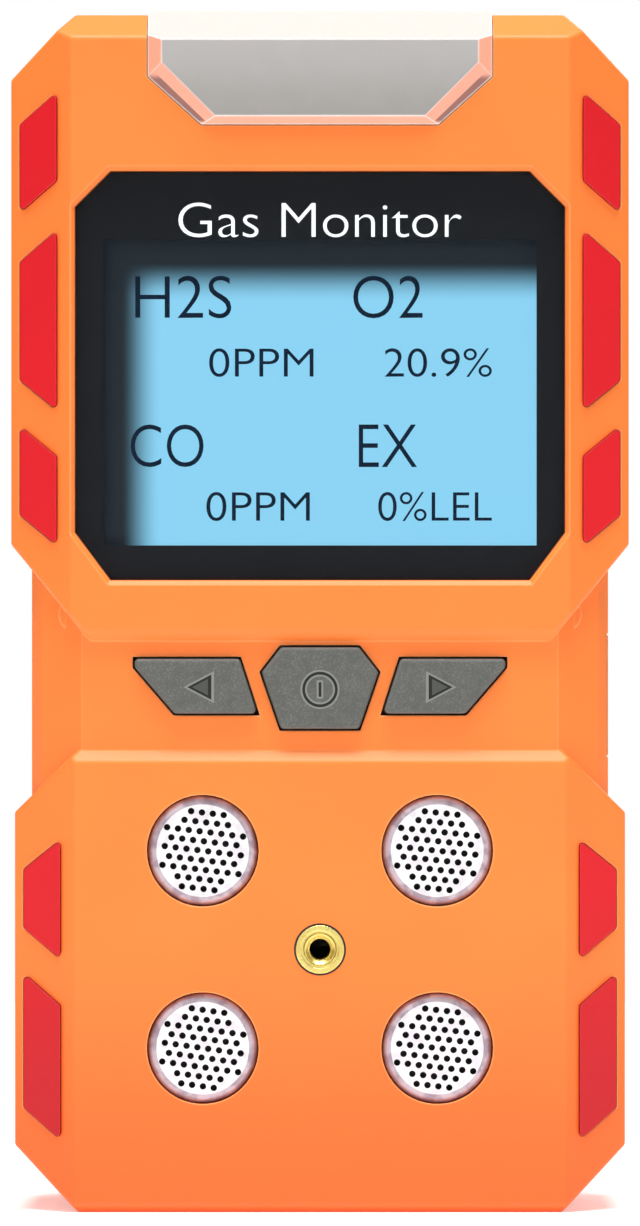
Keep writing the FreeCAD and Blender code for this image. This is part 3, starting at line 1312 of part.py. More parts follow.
def make_clip():
    """Sprung belt clip: bracket with two ears, pin, toothed jaw and its two screws."""
    sheet = D.clip_sheet
    plate_face = rear + sheet
    bracket = new_body("clip_bracket")
    plate_low, plate_high = clip_z - D.clip_screw_pitch / 2 - 4.0, clip_z + D.clip_screw_pitch / 2 + 4.0
    extrude(bracket, "y", rear, plate_face, [box_loop(-D.clip_half, plate_low, D.clip_half, plate_high)])
    dress(bracket, "Fillet", Dim.of(2.0), lambda e: abs(abs(e.tangentAt(e.FirstParameter).y) - 1) < 1e-6)
    ear = [
        (rear, clip_z - 4.5), (plate_face, clip_z - 4.5), (pin_y + 2.0, clip_z - 1.2),
        (pin_y + 2.0, clip_z + 1.2), (plate_face, clip_z + 4.5), (rear, clip_z + 4.5),
    ]
    for low_x in (-D.clip_half, D.clip_half - sheet):
        extrude(bracket, "x", low_x, low_x + sheet, [ear])
    extrude(bracket, "x", -D.clip_half - CLEAR, D.clip_half + CLEAR,
            [Circle(pin_y, clip_z, D.clip_pin_radius + 0.02)], cut=True)
    extrude(bracket, "y", rear - CLEAR, plate_face + CLEAR,
            [Circle(x, z, D.clip_screw_radius + 0.1) for x, z in clip_screw_spots], cut=True)

    pin = new_body("clip_pin")
    extrude(pin, "x", -D.clip_half - 0.6, D.clip_half + 0.6, [Circle(pin_y, clip_z, D.clip_pin_radius)])
    dress(pin, "Chamfer", Dim.of(0.2), lambda e: e.Length > 5.0 and abs(abs(e.CenterOfMass.x) - 9.6) < 1)

    jaw = new_body("clip_jaw")
    out = rear + D.clip_bow
    tip_z, lever_z = clip_z - D.clip_arm, clip_z + D.clip_lever
    strip = [
        (rear + 0.15, tip_z), (rear + 0.15 + sheet, tip_z - 0.6), (out + sheet, tip_z + 6.0),
        (out + sheet, clip_z + 4.0), (out + sheet + 3.2, lever_z), (out + 3.2, lever_z + 0.3),
        (out, clip_z + 4.3), (out, tip_z + 6.5),
    ]
    extrude(jaw, "x", -D.clip_jaw_half, D.clip_jaw_half, [strip])
    lug = [
        (pin_y - 1.9, clip_z - 1.2), (pin_y - 0.6, clip_z - 2.1), (out + 0.4, clip_z - 6.0),
        (out + 0.4, clip_z + 4.0), (pin_y - 0.6, clip_z + 2.1), (pin_y - 1.9, clip_z + 1.2),
    ]
    for low_x in (-D.clip_jaw_half, D.clip_jaw_half - sheet):
        extrude(jaw, "x", low_x, low_x + sheet, [lug])
    extrude(jaw, "x", -D.clip_half, D.clip_half,
            [Circle(pin_y, clip_z, D.clip_pin_radius + D.clip_pin_gap)], cut=True)

    screws = new_body("clip_screws")
    head = 1.3
    extrude(screws, "y", plate_face, plate_face + head,
            [Circle(x, z, D.clip_screw_radius + 1.1) for x, z in clip_screw_spots])
    extrude(screws, "y", rear - 4.0, plate_face,
            [Circle(x, z, D.clip_screw_radius) for x, z in clip_screw_spots])
    dress(screws, "Fillet", Dim.of(0.5), edge_at("y", plate_face + head))
    cross_screws(screws, clip_screw_spots, plate_face + head, 0.8, 1.5, 0.5)


make_clip()


def make_clip_spring():
    """Torsion spring on the clip pin: turns of wire, with one leg on the bracket and one on the jaw."""
    spring = DOC.addObject("Part::Feature", "clip_spring")
    wire, coil = D.spring_wire.value, D.spring_coil.value
    y, z = pin_y.value, clip_z.value
    bracket_y = (rear + D.clip_sheet).value + wire + 0.05
    jaw_y = (rear + D.clip_bow).value - wire - 0.1
    turns, pitch, steps = 8.5, 2.5 * wire, 16
    start_x = -turns * pitch / 2
    path = [V(start_x, bracket_y, z + 5.0), V(start_x, (bracket_y + y - coil) / 2, z + 2.5)]
    for step in range(int(turns * steps) + 1):
        angle = math.pi + 2 * math.pi * step / steps
        path.append(V(start_x + pitch * step / steps, y + coil * math.cos(angle), z + coil * math.sin(angle)))
    path += [V(-start_x, (jaw_y + y + coil) / 2, z + 2.0), V(-start_x, jaw_y, z + 3.8)]
    curve = Part.BSplineCurve()
    curve.interpolate(path)
    section = Part.Wire([Part.makeCircle(wire, path[0], curve.tangent(curve.FirstParameter)[0])])
    spring.Shape = Part.Wire([curve.toShape()]).makePipeShell([section], True, True)
    PARTS.append(spring)


make_clip_spring()


# ---------------------------------------------------------------- check and write

DOC.recompute()
for item in DOC.Objects:
    if "Invalid" in item.State or "Error" in item.State:
        raise RuntimeError(f"{item.Label} failed: {item.State}")
os.makedirs("parts", exist_ok=True)
for piece in PARTS:
    if piece.Shape.isNull() or not piece.Shape.isValid():
        raise RuntimeError(f"{piece.Label} has no valid shape")
    piece.Shape.exportStep(os.path.join("parts", f"{piece.Label}.step"))
print(f"{len(PARTS)} pieces, {top.value:.2f} mm high")
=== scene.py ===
"""Finishes, small parts and studio of a portable four-gas detector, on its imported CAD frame.

Every piece is in metres in the frame of the CAD model: X to the right seen from the front, the front
faces -Y, Z up. Sizes below are named in millimetres where their name or docstring says so, and MM turns
them into metres.
"""
from __future__ import annotations

import json
import logging
import math
import sys
from dataclasses import dataclass
from enum import Enum
from functools import lru_cache
from typing import Any, Callable, Iterable, Mapping, Optional, Sequence, Union

import bmesh
import bpy
from mathutils import Matrix, Vector

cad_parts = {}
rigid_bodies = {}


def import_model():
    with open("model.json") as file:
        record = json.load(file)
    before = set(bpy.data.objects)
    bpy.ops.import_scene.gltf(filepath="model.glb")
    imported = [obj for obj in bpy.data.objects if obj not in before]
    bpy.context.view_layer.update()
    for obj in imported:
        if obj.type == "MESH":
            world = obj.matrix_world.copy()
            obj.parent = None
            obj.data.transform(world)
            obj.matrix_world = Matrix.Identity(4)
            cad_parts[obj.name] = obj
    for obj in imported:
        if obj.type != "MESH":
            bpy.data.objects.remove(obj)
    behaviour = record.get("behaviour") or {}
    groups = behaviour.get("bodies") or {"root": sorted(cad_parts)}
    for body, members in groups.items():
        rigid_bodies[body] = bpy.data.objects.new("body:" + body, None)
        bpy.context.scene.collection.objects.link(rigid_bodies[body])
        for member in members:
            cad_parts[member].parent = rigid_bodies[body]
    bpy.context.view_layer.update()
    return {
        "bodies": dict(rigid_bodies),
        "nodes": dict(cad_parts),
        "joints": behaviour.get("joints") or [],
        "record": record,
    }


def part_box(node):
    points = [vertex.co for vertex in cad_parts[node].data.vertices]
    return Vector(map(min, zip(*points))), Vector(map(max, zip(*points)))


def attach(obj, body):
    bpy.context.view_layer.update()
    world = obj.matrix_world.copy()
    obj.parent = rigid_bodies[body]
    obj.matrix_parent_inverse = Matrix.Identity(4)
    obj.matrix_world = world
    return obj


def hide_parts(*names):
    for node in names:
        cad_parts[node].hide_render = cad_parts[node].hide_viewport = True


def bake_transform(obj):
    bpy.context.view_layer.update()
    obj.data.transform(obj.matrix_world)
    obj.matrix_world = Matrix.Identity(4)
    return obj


MM = 0.001
MERGE_REACH = 1e-6  # metres within which points are merged
BEVEL_SAMPLES = 6
RING_POINTS = 64  # of a printed ring
ROUND_SIDES = 96  # of the inlets and the floor
SCREW_SIDES = 48
LOBES = 6  # of a screw's recess
PRINT_THICKNESS = 0.02 * MM
LOG = logging.getLogger("gas_detector")
Colour = tuple[float, float, float]
Triple = tuple[float, float, float]
Outline = Sequence[tuple[float, float]]
WHITE: Colour = (1.0, 1.0, 1.0)


def tone(red: float, green: float, blue: float) -> Colour:
    """Turns a display colour of 0 to 255 a channel into the linear colour that shaders take.

    Args:
        red: Red, 0 to 255.
        green: Green, 0 to 255.
        blue: Blue, 0 to 255.

    Returns:
        The linear red, green and blue.
    """
    def channel(value: float) -> float:
        """One channel of 0 to 255 as linear light."""
        share = value / 255.0
        return share / 12.92 if share <= 0.04045 else ((share + 0.055) / 1.055) ** 2.4

    return channel(red), channel(green), channel(blue)


def opaque(colour: Colour) -> tuple[float, float, float, float]:
    """The colour with an alpha of one."""
    return (*colour, 1.0)


def dimmed(colour: Colour, share: float) -> Colour:
    """The colour with each channel at a share of its own strength."""
    red, green, blue = colour
    return red * share, green * share, blue * share


# ---------------------------------------------------------------------------------------------- nodes

Operand = Union["Wire", float]


class Wire:
    """An output socket of a node, whose arithmetic adds Math nodes to the same tree."""

    def __init__(self, sheet: "NodeSheet", socket: bpy.types.NodeSocket) -> None:
        """Wraps a socket of a sheet's tree."""
        self.sheet = sheet
        self.socket = socket

    def maths(self, operation: str, *others: Operand) -> "Wire":
        """Adds a Math node that starts with this value.

        Args:
            operation: The Math node's operation.
            others: The values of its further sockets.

        Returns:
            The node's value.
        """
        sockets = dict(enumerate((self, *others)))
        return self.sheet.node("ShaderNodeMath", {"operation": operation}, sockets)

    def __add__(self, other: Operand) -> "Wire":
        """self + other."""
        return self.maths("ADD", other)

    def __radd__(self, other: Operand) -> "Wire":
        """other + self."""
        return self.maths("ADD", other)

    def __sub__(self, other: Operand) -> "Wire":
        """self - other."""
        return self.maths("SUBTRACT", other)

    def __rsub__(self, other: float) -> "Wire":
        """other - self."""
        return self.sheet.node("ShaderNodeMath", {"operation": "SUBTRACT"}, {0: other, 1: self})

    def __mul__(self, other: Operand) -> "Wire":
        """self * other."""
        return self.maths("MULTIPLY", other)

    def __rmul__(self, other: Operand) -> "Wire":
        """other * self."""
        return self.maths("MULTIPLY", other)

    def __truediv__(self, other: Operand) -> "Wire":
        """self / other."""
        return self.maths("DIVIDE", other)

    def __mod__(self, other: Operand) -> "Wire":
        """self modulo other."""
        return self.maths("MODULO", other)

    def __gt__(self, other: Operand) -> "Wire":
        """1 where self is above other, else 0."""
        return self.maths("GREATER_THAN", other)

    def __abs__(self) -> "Wire":
        """The size of self, without its sign."""
        return self.maths("ABSOLUTE")

    def ramp(self, low: float, high: float) -> "Wire":
        """A smooth step: 0 where self is at low, 1 where it is at high. Low may be the larger one.

        Args:
            low: The value that gives 0.
            high: The value that gives 1.

        Returns:
            The step, between 0 and 1.
        """
        sockets = {"Value": self, "From Min": low, "From Max": high}
        return self.sheet.node("ShaderNodeMapRange", {"interpolation_type": "SMOOTHSTEP"}, sockets)


class NodeSheet:
    """A node tree that is being drawn up. One method adds any node."""

    def __init__(self, tree: bpy.types.NodeTree) -> None:
        """Starts on a tree, whose nodes are cleared."""
        self.tree = tree
        tree.nodes.clear()

    def node(self, kind: str, settings: Optional[Mapping[str, Any]] = None,
             sockets: Optional[Mapping[Union[int, str], Any]] = None,
             output: Union[int, str] = 0) -> Wire:
        """Adds a node.

        Args:
            kind: The node's type.
            settings: Its own settings, set before its sockets.
            sockets: The values or wires of its input sockets, by name or index. A list of wires goes to
                one socket that takes several.
            output: The name or index of the output that is returned.

        Returns:
            The chosen output.
        """
        added = self.tree.nodes.new(kind)
        for name, value in (settings or {}).items():
            setattr(added, name, value)
        for key, value in (sockets or {}).items():
            for item in value if isinstance(value, list) else [value]:
                if isinstance(item, Wire):
                    self.tree.links.new(item.socket, added.inputs[key])
                else:
                    added.inputs[key].default_value = item
        return Wire(self, added.outputs[output] if added.outputs else None)

    def axes(self, vector: Wire) -> tuple[Wire, Wire, Wire]:
        """The three parts of a vector."""
        first = self.node("ShaderNodeSeparateXYZ", sockets={0: vector})
        outputs = first.socket.node.outputs
        return Wire(self, outputs[0]), Wire(self, outputs[1]), Wire(self, outputs[2])


class MaterialSheet(NodeSheet):
    """A material that is being drawn up, with the few moves that most finishes share.

    MIX_SHARE, MIX_FIRST and MIX_SECOND number the Mix node's inputs for colours, and MIX_RESULT its output.
    """

    MIX_SHARE, MIX_FIRST, MIX_SECOND, MIX_RESULT = 0, 6, 7, 2

    def __init__(self, name: str) -> None:
        """Makes the material."""
        self.material = bpy.data.materials.new(name)
        self.material.use_nodes = True
        super().__init__(self.material.node_tree)

    def point(self, stretch: Triple = (1.0, 1.0, 1.0)) -> Wire:
        """The place on the piece, in metres.

        Args:
            stretch: A factor on each axis.

        Returns:
            The place.
        """
        place = self.node("ShaderNodeTexCoord", output="Object")
        if stretch == (1.0, 1.0, 1.0):
            return place
        return self.node("ShaderNodeMapping", sockets={"Vector": place, "Scale": stretch})

    def noise(self, size: float, detail: float = 2.0, stretch: Triple = (1.0, 1.0, 1.0)) -> Wire:
        """Noise of 0 to 1 about 0.5.

        Args:
            size: The size of its largest blotches, in millimetres.
            detail: How many finer octaves it has.
            stretch: A factor on each axis: above 1, the blotches are shorter that way.

        Returns:
            The noise.
        """
        sockets = {"Vector": self.point(stretch), "Scale": 1.0 / (size * MM), "Detail": detail}
        return self.node("ShaderNodeTexNoise", sockets=sockets)

    def mix(self, share: Operand, first: Any, second: Any) -> Wire:
        """Blends two colours.

        Args:
            share: How much of the second shows, 0 to 1.
            first: The colour where share is 0.
            second: The colour where share is 1.

        Returns:
            The blended colour.
        """
        def entry(colour: Any) -> Any:
            """A plain colour with its alpha, and a wire as it is."""
            return colour if isinstance(colour, Wire) else opaque(colour)

        sockets = {self.MIX_SHARE: share, self.MIX_FIRST: entry(first), self.MIX_SECOND: entry(second)}
        return self.node("ShaderNodeMix", {"data_type": "RGBA"}, sockets, self.MIX_RESULT)

    def relief(self, height: Wire, depth: float, base: Optional[Wire] = None) -> Wire:
        """A Bump node's normal.

        Args:
            height: The height, 0 to 1.
            depth: How deep a height of 1 is, in millimetres.
            base: The normal that it starts from, where it isn't the surface's own.

        Returns:
            The normal.
        """
        sockets: dict[str, Any] = {"Height": height, "Distance": depth * MM, "Strength": 1.0}
        if base is not None:
            sockets["Normal"] = base
        return self.node("ShaderNodeBump", sockets=sockets)

    def rounded(self, radius: float) -> Wire:
        """The surface's normal with edges rounded to a radius in millimetres."""
        return self.node("ShaderNodeBevel", {"samples": BEVEL_SAMPLES}, {"Radius": radius * MM})

    def edges(self, rounded: Wire, low: float, high: float) -> Wire:
        """1 along the edges and 0 on the flats.

        Args:
            rounded: The surface's rounded normal.
            low: How far it leans from the surface's own where the edge starts, as 1 minus a cosine.
            high: How far it leans where the edge is full.

        Returns:
            The mask.
        """
        flat = self.node("ShaderNodeNewGeometry", output="Normal")
        facing = self.node("ShaderNodeVectorMath", {"operation": "DOT_PRODUCT"}, {0: rounded, 1: flat},
                           output="Value")
        return (1.0 - facing).ramp(low, high)

    def shade(self, **sockets: Any) -> bpy.types.Material:
        """Ends the material in a Principled shader.

        Args:
            sockets: Its sockets' values or wires. An underscore stands for a space in a socket's name.

        Returns:
            The material.
        """
        return self.end(self.principled(**sockets))

    def principled(self, **sockets: Any) -> Wire:
        """A Principled shader.

        Args:
            sockets: Its sockets' values or wires. An underscore stands for a space in a socket's name.

        Returns:
            The shader.
        """
        named: dict[str, Any] = {}
        for key, value in sockets.items():
            is_colour = isinstance(value, tuple) and len(value) == 3
            name = "Specular IOR Level" if key == "Specular" else key.replace("_", " ")
            named[name] = opaque(value) if is_colour else value
        return self.node("ShaderNodeBsdfPrincipled", sockets=named)

    def end(self, shader: Wire) -> bpy.types.Material:
        """Ends the material in a shader."""
        self.node("ShaderNodeOutputMaterial", sockets={"Surface": shader})
        return self.material


class ShapeSheet(NodeSheet):
    """A Geometry Nodes tree that is being drawn up, with named inputs for its sizes."""

    def __init__(self, name: str) -> None:
        """Makes the tree with a geometry input and output."""
        super().__init__(bpy.data.node_groups.new(name, "GeometryNodeTree"))
        self.tree.interface.new_socket("Points", in_out="INPUT", socket_type="NodeSocketGeometry")
        self.tree.interface.new_socket("Shape", in_out="OUTPUT", socket_type="NodeSocketGeometry")
        self._entries = self.tree.nodes.new("NodeGroupInput")
        self.identifiers: dict[str, str] = {}

    def size(self, name: str, kind: str = "Float") -> Wire:
        """A named input of the tree.

        Args:
            name: What it sets.
            kind: Float, Int, Vector, Object or Material.

        Returns:
            The input.
        """
        entry = self.tree.interface.new_socket(name, in_out="INPUT", socket_type=f"NodeSocket{kind}")
        self.identifiers[name] = entry.identifier
        return Wire(self, self._entries.outputs[name])

    @property
    def points(self) -> Wire:
        """The geometry that the tree starts from."""
        return Wire(self, self._entries.outputs["Points"])

    def vector(self, x: Operand = 0.0, y: Operand = 0.0, z: Operand = 0.0) -> Wire:
        """A vector of three parts."""
        return self.node("ShaderNodeCombineXYZ", sockets={0: x, 1: y, 2: z})

    def join(self, *shapes: Wire) -> Wire:
        """Several geometries as one."""
        return self.node("GeometryNodeJoinGeometry", sockets={0: list(shapes)})

    def painted(self, shape: Wire, material: Wire) -> Wire:
        """The geometry with its instances made real, and its material set.

        Args:
            shape: The geometry.
            material: The material.

        Returns:
            The geometry.
        """
        real = self.node("GeometryNodeRealizeInstances", sockets={0: shape})
        return self.node("GeometryNodeSetMaterial", sockets={0: real, "Material": material})

    def finish(self, shape: Wire) -> "ShapeSheet":
        """Ends the tree in a geometry."""
        self.node("NodeGroupOutput", sockets={0: shape})
        return self

    def make(self, name: str, sizes: Mapping[str, Any], start: Sequence[Triple] = ()) -> bpy.types.Object:
        """Runs the tree and keeps its result as a plain mesh.

        Args:
            name: The piece's name.
            sizes: The value of each named input.
            start: The points that the tree starts from.

        Returns:
            The piece, with no modifier left on it.
        """
        seed_mesh = bpy.data.meshes.new(f"{name}_points")
        seed_mesh.from_pydata([tuple(p) for p in start] or [(0.0, 0.0, 0.0)], [], [])
        carrier = bpy.data.objects.new(f"{name}_carrier", seed_mesh)
        bpy.context.scene.collection.objects.link(carrier)
        modifier = carrier.modifiers.new("shape", "NODES")
        modifier.node_group = self.tree
        for key, value in sizes.items():
            modifier[self.identifiers[key]] = value
        mesh = evaluated_mesh(carrier, name)
        bpy.data.objects.remove(carrier)
        return add_object(name, mesh)


# ------------------------------------------------------------------------------------------ mesh tools

def evaluated_mesh(source: bpy.types.Object, name: str) -> bpy.types.Mesh:
    """The mesh of an object with its modifiers or curve settings applied.

    Args:
        source: A linked object.
        name: The new mesh's name.

    Returns:
        A mesh of its own.
    """
    graph = bpy.context.evaluated_depsgraph_get()
    mesh = bpy.data.meshes.new_from_object(source.evaluated_get(graph))
    mesh.name = name
    return mesh


def add_object(name: str, mesh: bpy.types.Mesh) -> bpy.types.Object:
    """Links a mesh to the scene as an object at the origin."""
    piece = bpy.data.objects.new(name, mesh)
    bpy.context.scene.collection.objects.link(piece)
    return piece


def smooth_by_angle(mesh: bpy.types.Mesh, degrees: float = 35.0) -> None:
    """Shades a mesh smooth but for the edges that turn more than an angle.

    Args:
        mesh: The mesh.
        degrees: The angle.
    """
    shaped = bmesh.new()
    shaped.from_mesh(mesh)
    for face in shaped.faces:
        face.smooth = True
    for edge in shaped.edges:
        edge.smooth = len(edge.link_faces) == 2 and edge.calc_face_angle(0.0) < math.radians(degrees)
    shaped.to_mesh(mesh)
    shaped.free()


def outward(mesh: bpy.types.Mesh) -> bpy.types.Mesh:
    """Merges doubles and turns every face of a closed mesh outwards.

    Args:
        mesh: The mesh.

    Returns:
        The same mesh.
    """
    shaped = bmesh.new()
    shaped.from_mesh(mesh)
    bmesh.ops.remove_doubles(shaped, verts=shaped.verts, dist=1e-7)
    bmesh.ops.recalc_face_normals(shaped, faces=shaped.faces)
    shaped.to_mesh(mesh)
    shaped.free()
    return mesh


def flat_plate(name: str, loops: Sequence[Outline], face_y: float, thickness: float) -> bpy.types.Object:
    """A thin plate square to Y, cut out to closed loops, of which the first is its outline.

    Args:
        name: The piece's name.
        loops: Loops of (x, z) points in metres.
        face_y: Where its front face is.
        thickness: How far it goes back from there.

    Returns:
        The plate.
    """
    curve = bpy.data.curves.new(name, "CURVE")
    curve.dimensions = "2D"
    curve.fill_mode = "BOTH"
    curve.extrude = thickness / 2
    for loop in loops:
        spline = curve.splines.new("POLY")
        spline.points.add(len(loop) - 1)
        spline.use_cyclic_u = True
        for point, (x, z) in zip(spline.points, loop):
            point.co = (x, z, 0.0, 1.0)
    return stand_up(name, curve, face_y, thickness)


def mesh_of_curve(name: str, curve: bpy.types.Curve) -> bpy.types.Mesh:
    """The mesh that a curve or text makes.

    Args:
        name: The mesh's name.
        curve: The curve or text.

    Returns:
        A mesh of its own.
    """
    drawn = bpy.data.objects.new(f"{name}_drawn", curve)
    bpy.context.scene.collection.objects.link(drawn)
    mesh = evaluated_mesh(drawn, name)
    bpy.data.objects.remove(drawn)
    return mesh


def stand_up(name: str, curve: bpy.types.Curve, face_y: float, thickness: float,
             fit: Optional[Callable[[bpy.types.Mesh], None]] = None) -> bpy.types.Object:
    """Turns a flat curve or text into a mesh that faces -Y.

    Args:
        name: The piece's name.
        curve: The curve or text, drawn in its own XY plane.
        face_y: Where the front face comes to be.
        thickness: The depth of the piece.
        fit: Scales and moves the mesh in its own plane before it is stood up.

    Returns:
        The piece.
    """
    mesh = mesh_of_curve(name, curve)
    if fit is not None:
        fit(mesh)
    mesh.transform(Matrix.Rotation(math.pi / 2, 4, "X"))
    mesh.transform(Matrix.Translation((0.0, face_y + thickness / 2, 0.0)))
    return add_object(name, outward(mesh))


def rectangle(left: float, low: float, right: float, high: float) -> list[tuple[float, float]]:
    """The (x, z) corners of a rectangle, from its lower left one."""
    return [(left, low), (right, low), (right, high), (left, high)]


def ring_loop(centre: tuple[float, float], radius: float) -> list[tuple[float, float]]:
    """The (x, z) points round a circle.

    Args:
        centre: Its (x, z) centre.
        radius: Its radius.

    Returns:
        The points.
    """
    angles = [math.tau * i / RING_POINTS for i in range(RING_POINTS)]
    return [(centre[0] + radius * math.cos(angle), centre[1] + radius * math.sin(angle)) for angle in angles]


def lathe(name: str, profile: Sequence[tuple[float, float]], sides: int,
          lobes: Mapping[int, float]) -> bpy.types.Mesh:
    """A closed solid turned about the Y axis.

    Args:
        name: The mesh's name.
        profile: (radius, y) from the middle of one end to the middle of the other.
        sides: How many sides it has.
        lobes: For a profile point's number, how strongly its ring is waved into LOBES lobes.

    Returns:
        The mesh.
    """
    shaped = bmesh.new()
    rings: list[list[bmesh.types.BMVert]] = []
    for number, (radius, y) in enumerate(profile):
        if radius < 1e-9:
            rings.append([shaped.verts.new((0.0, y, 0.0))])
            continue
        ring = []
        for i in range(sides):
            angle = math.tau * i / sides
            wave = radius * (1.0 + lobes.get(number, 0.0) * math.cos(LOBES * angle))
            ring.append(shaped.verts.new((wave * math.cos(angle), y, wave * math.sin(angle))))
        rings.append(ring)
    for first, second in zip(rings, rings[1:]):
        for i in range(sides):
            j = (i + 1) % sides
            corners = (first[i % len(first)], first[j % len(first)], second[j % len(second)],
                       second[i % len(second)])
            shaped.faces.new(list(dict.fromkeys(corners)))
    mesh = bpy.data.meshes.new(name)
    bmesh.ops.recalc_face_normals(shaped, faces=shaped.faces)
    shaped.to_mesh(mesh)
    shaped.free()
    smooth_by_angle(mesh)
    return mesh


# -------------------------------------------------------------------------------------------- finishes

class Grain(Enum):
    """Which way the brush lines of a metal run."""

    NONE = (1.0, 1.0, 1.0)
    ALONG_X = (0.03, 1.0, 1.0)
    ALONG_Z = (1.0, 1.0, 0.03)


@dataclass(frozen=True)
class Moulding:
    """Moulded plastic with a fine eroded texture, softly rounded, with a painted highlight along its edges
    and painted shade towards its foot where these are set.

    Attributes:
        name: The material's name.
        colour: Its colour.
        roughness: How dull it is.
        grain: The size of the texture, in millimetres.
        depth: The depth of the texture, in millimetres.
        edge_highlight_colour: A painted highlight colour along its edges, where light would catch them, or
            None.
        edge_radius: How far the edges are rounded, in millimetres.
        seam_y: Where a joint line runs round it, in metres, or None.
        foot_shade_colour: A painted shade colour, darker towards its foot as the light falls off below, or
            None.
        foot_shade_height: How far up from the floor that painted shade reaches, in millimetres.
        cloud: The size of its faint unevenness, in millimetres.
        seam_outer: Half the width of the joint line where it fades out, in millimetres.
        seam_inner: Half its width where it is darkest, in millimetres.
        seam_sink: How deep it is, as a number of textures.
    """

    name: str
    colour: Colour
    roughness: float = 0.45
    grain: float = 0.35
    depth: float = 0.006
    edge_highlight_colour: Optional[Colour] = None
    edge_radius: float = 0.35
    seam_y: Optional[float] = None
    foot_shade_colour: Optional[Colour] = None
    foot_shade_height: float = 34.0
    cloud: float = 14.0
    seam_outer: float = 0.16
    seam_inner: float = 0.07
    seam_sink: float = 8.0

    def build(self) -> bpy.types.Material:
        """Draws up the material.

        Returns:
            The material.
        """
        sheet = MaterialSheet(self.name)
        grain = sheet.noise(self.grain, 3.0)
        clouds = sheet.noise(self.cloud, 1.0)
        colour = sheet.mix(clouds.ramp(0.3, 0.7), self.colour, dimmed(self.colour, 0.965))
        # Painted shade: the colour deepens towards the floor, standing in for the light falling off below.
        if self.foot_shade_colour is not None:
            up = sheet.axes(sheet.point())[2]
            colour = sheet.mix(up.ramp(self.foot_shade_height * MM, 0.0), colour, self.foot_shade_colour)
        height = grain
        normal = None
        # Painted highlight: the edges are coloured lighter, standing in for light caught on the rounded
        # edges.
        if self.edge_highlight_colour is not None:
            normal = sheet.rounded(self.edge_radius)
            colour = sheet.mix(sheet.edges(normal, 0.004, 0.15) * 0.85, colour, self.edge_highlight_colour)
        if self.seam_y is not None:
            across = abs(sheet.axes(sheet.point())[1] - self.seam_y)
            seam = across.ramp(self.seam_outer * MM, self.seam_inner * MM)
            colour = sheet.mix(seam * 0.85, colour, dimmed(self.colour, 0.12))
            height = grain - seam * self.seam_sink
        rough = grain * 0.16 + clouds * 0.06 + (self.roughness - 0.11)
        return sheet.shade(Base_Color=colour, Roughness=rough, Specular=0.35,
                           Normal=sheet.relief(height, self.depth, normal))


@dataclass(frozen=True)
class SoftRubber:
    """Silicone rubber with fine specks, and a painted highlight along its edges where one is set.

    Attributes:
        name: The material's name.
        colour: Its colour.
        speck_colour: The colour of its specks.
        speck: The size of a speck, in millimetres.
        roughness: How dull it is.
        edge_highlight_colour: A painted highlight colour along the edges, where light would catch them, or
            None.
        edge_radius: How far the edges are rounded, in millimetres.
        depth: How deep the specks are, in millimetres.
    """

    name: str
    colour: Colour
    speck_colour: Colour
    speck: float = 0.18
    roughness: float = 0.62
    edge_highlight_colour: Optional[Colour] = None
    edge_radius: float = 0.3
    depth: float = 0.006

    def build(self) -> bpy.types.Material:
        """Draws up the material.

        Returns:
            The material.
        """
        sheet = MaterialSheet(self.name)
        speck = sheet.noise(self.speck, 1.0)
        blotch = sheet.noise(self.speck * 7.0, 3.0)
        colour = sheet.mix(speck.ramp(0.52, 0.66) * 0.7, self.colour, self.speck_colour)
        colour = sheet.mix(blotch.ramp(0.35, 0.7) * 0.35, colour, dimmed(self.colour, 0.72))
        normal = None
        # Painted highlight: the edges are coloured lighter, standing in for light caught on them.
        if self.edge_highlight_colour is not None:
            normal = sheet.rounded(self.edge_radius)
            colour = sheet.mix(sheet.edges(normal, 0.003, 0.07) * 0.85, colour, self.edge_highlight_colour)
        rough = blotch * 0.2 + (self.roughness - 0.1)
        return sheet.shade(Base_Color=colour, Roughness=rough, Specular=0.35,
                           Normal=sheet.relief(speck, self.depth, normal))


@dataclass(frozen=True)
class Metal:
    """Bare or plated metal with brush lines or a fine matt grain.

    Attributes:
        name: The material's name.
        colour: Its colour.
        roughness: How dull it is.
        grain: Which way its lines run.
        line: The width of a line, in millimetres.
        stain: The colour of its dull patches, or None.
        patch: The size of those patches, in millimetres.
        depth: How deep the lines are, in millimetres.
        edge_radius: How far the edges are rounded, in millimetres.
    """

    name: str
    colour: Colour
    roughness: float = 0.3
    grain: Grain = Grain.NONE
    line: float = 0.12
    stain: Optional[Colour] = None
    patch: float = 3.0
    depth: float = 0.0007
    edge_radius: float = 0.12

    def build(self) -> bpy.types.Material:
        """Draws up the material.

        Returns:
            The material.
        """
        sheet = MaterialSheet(self.name)
        lines = sheet.noise(self.line, 2.0, self.grain.value)
        patches = sheet.noise(self.patch, 3.0)
        dark = self.stain or dimmed(self.colour, 0.7)
        colour = sheet.mix(patches.ramp(0.45, 0.75) * 0.5, self.colour, dark)
        colour = sheet.mix(lines * 0.25, colour, dimmed(self.colour, 0.8))
        rough = lines * 0.22 + patches * 0.1 + (self.roughness - 0.16)
        normal = sheet.relief(lines, self.depth, sheet.rounded(self.edge_radius))
        return sheet.shade(Base_Color=colour, Metallic=1.0, Roughness=rough, Normal=normal)


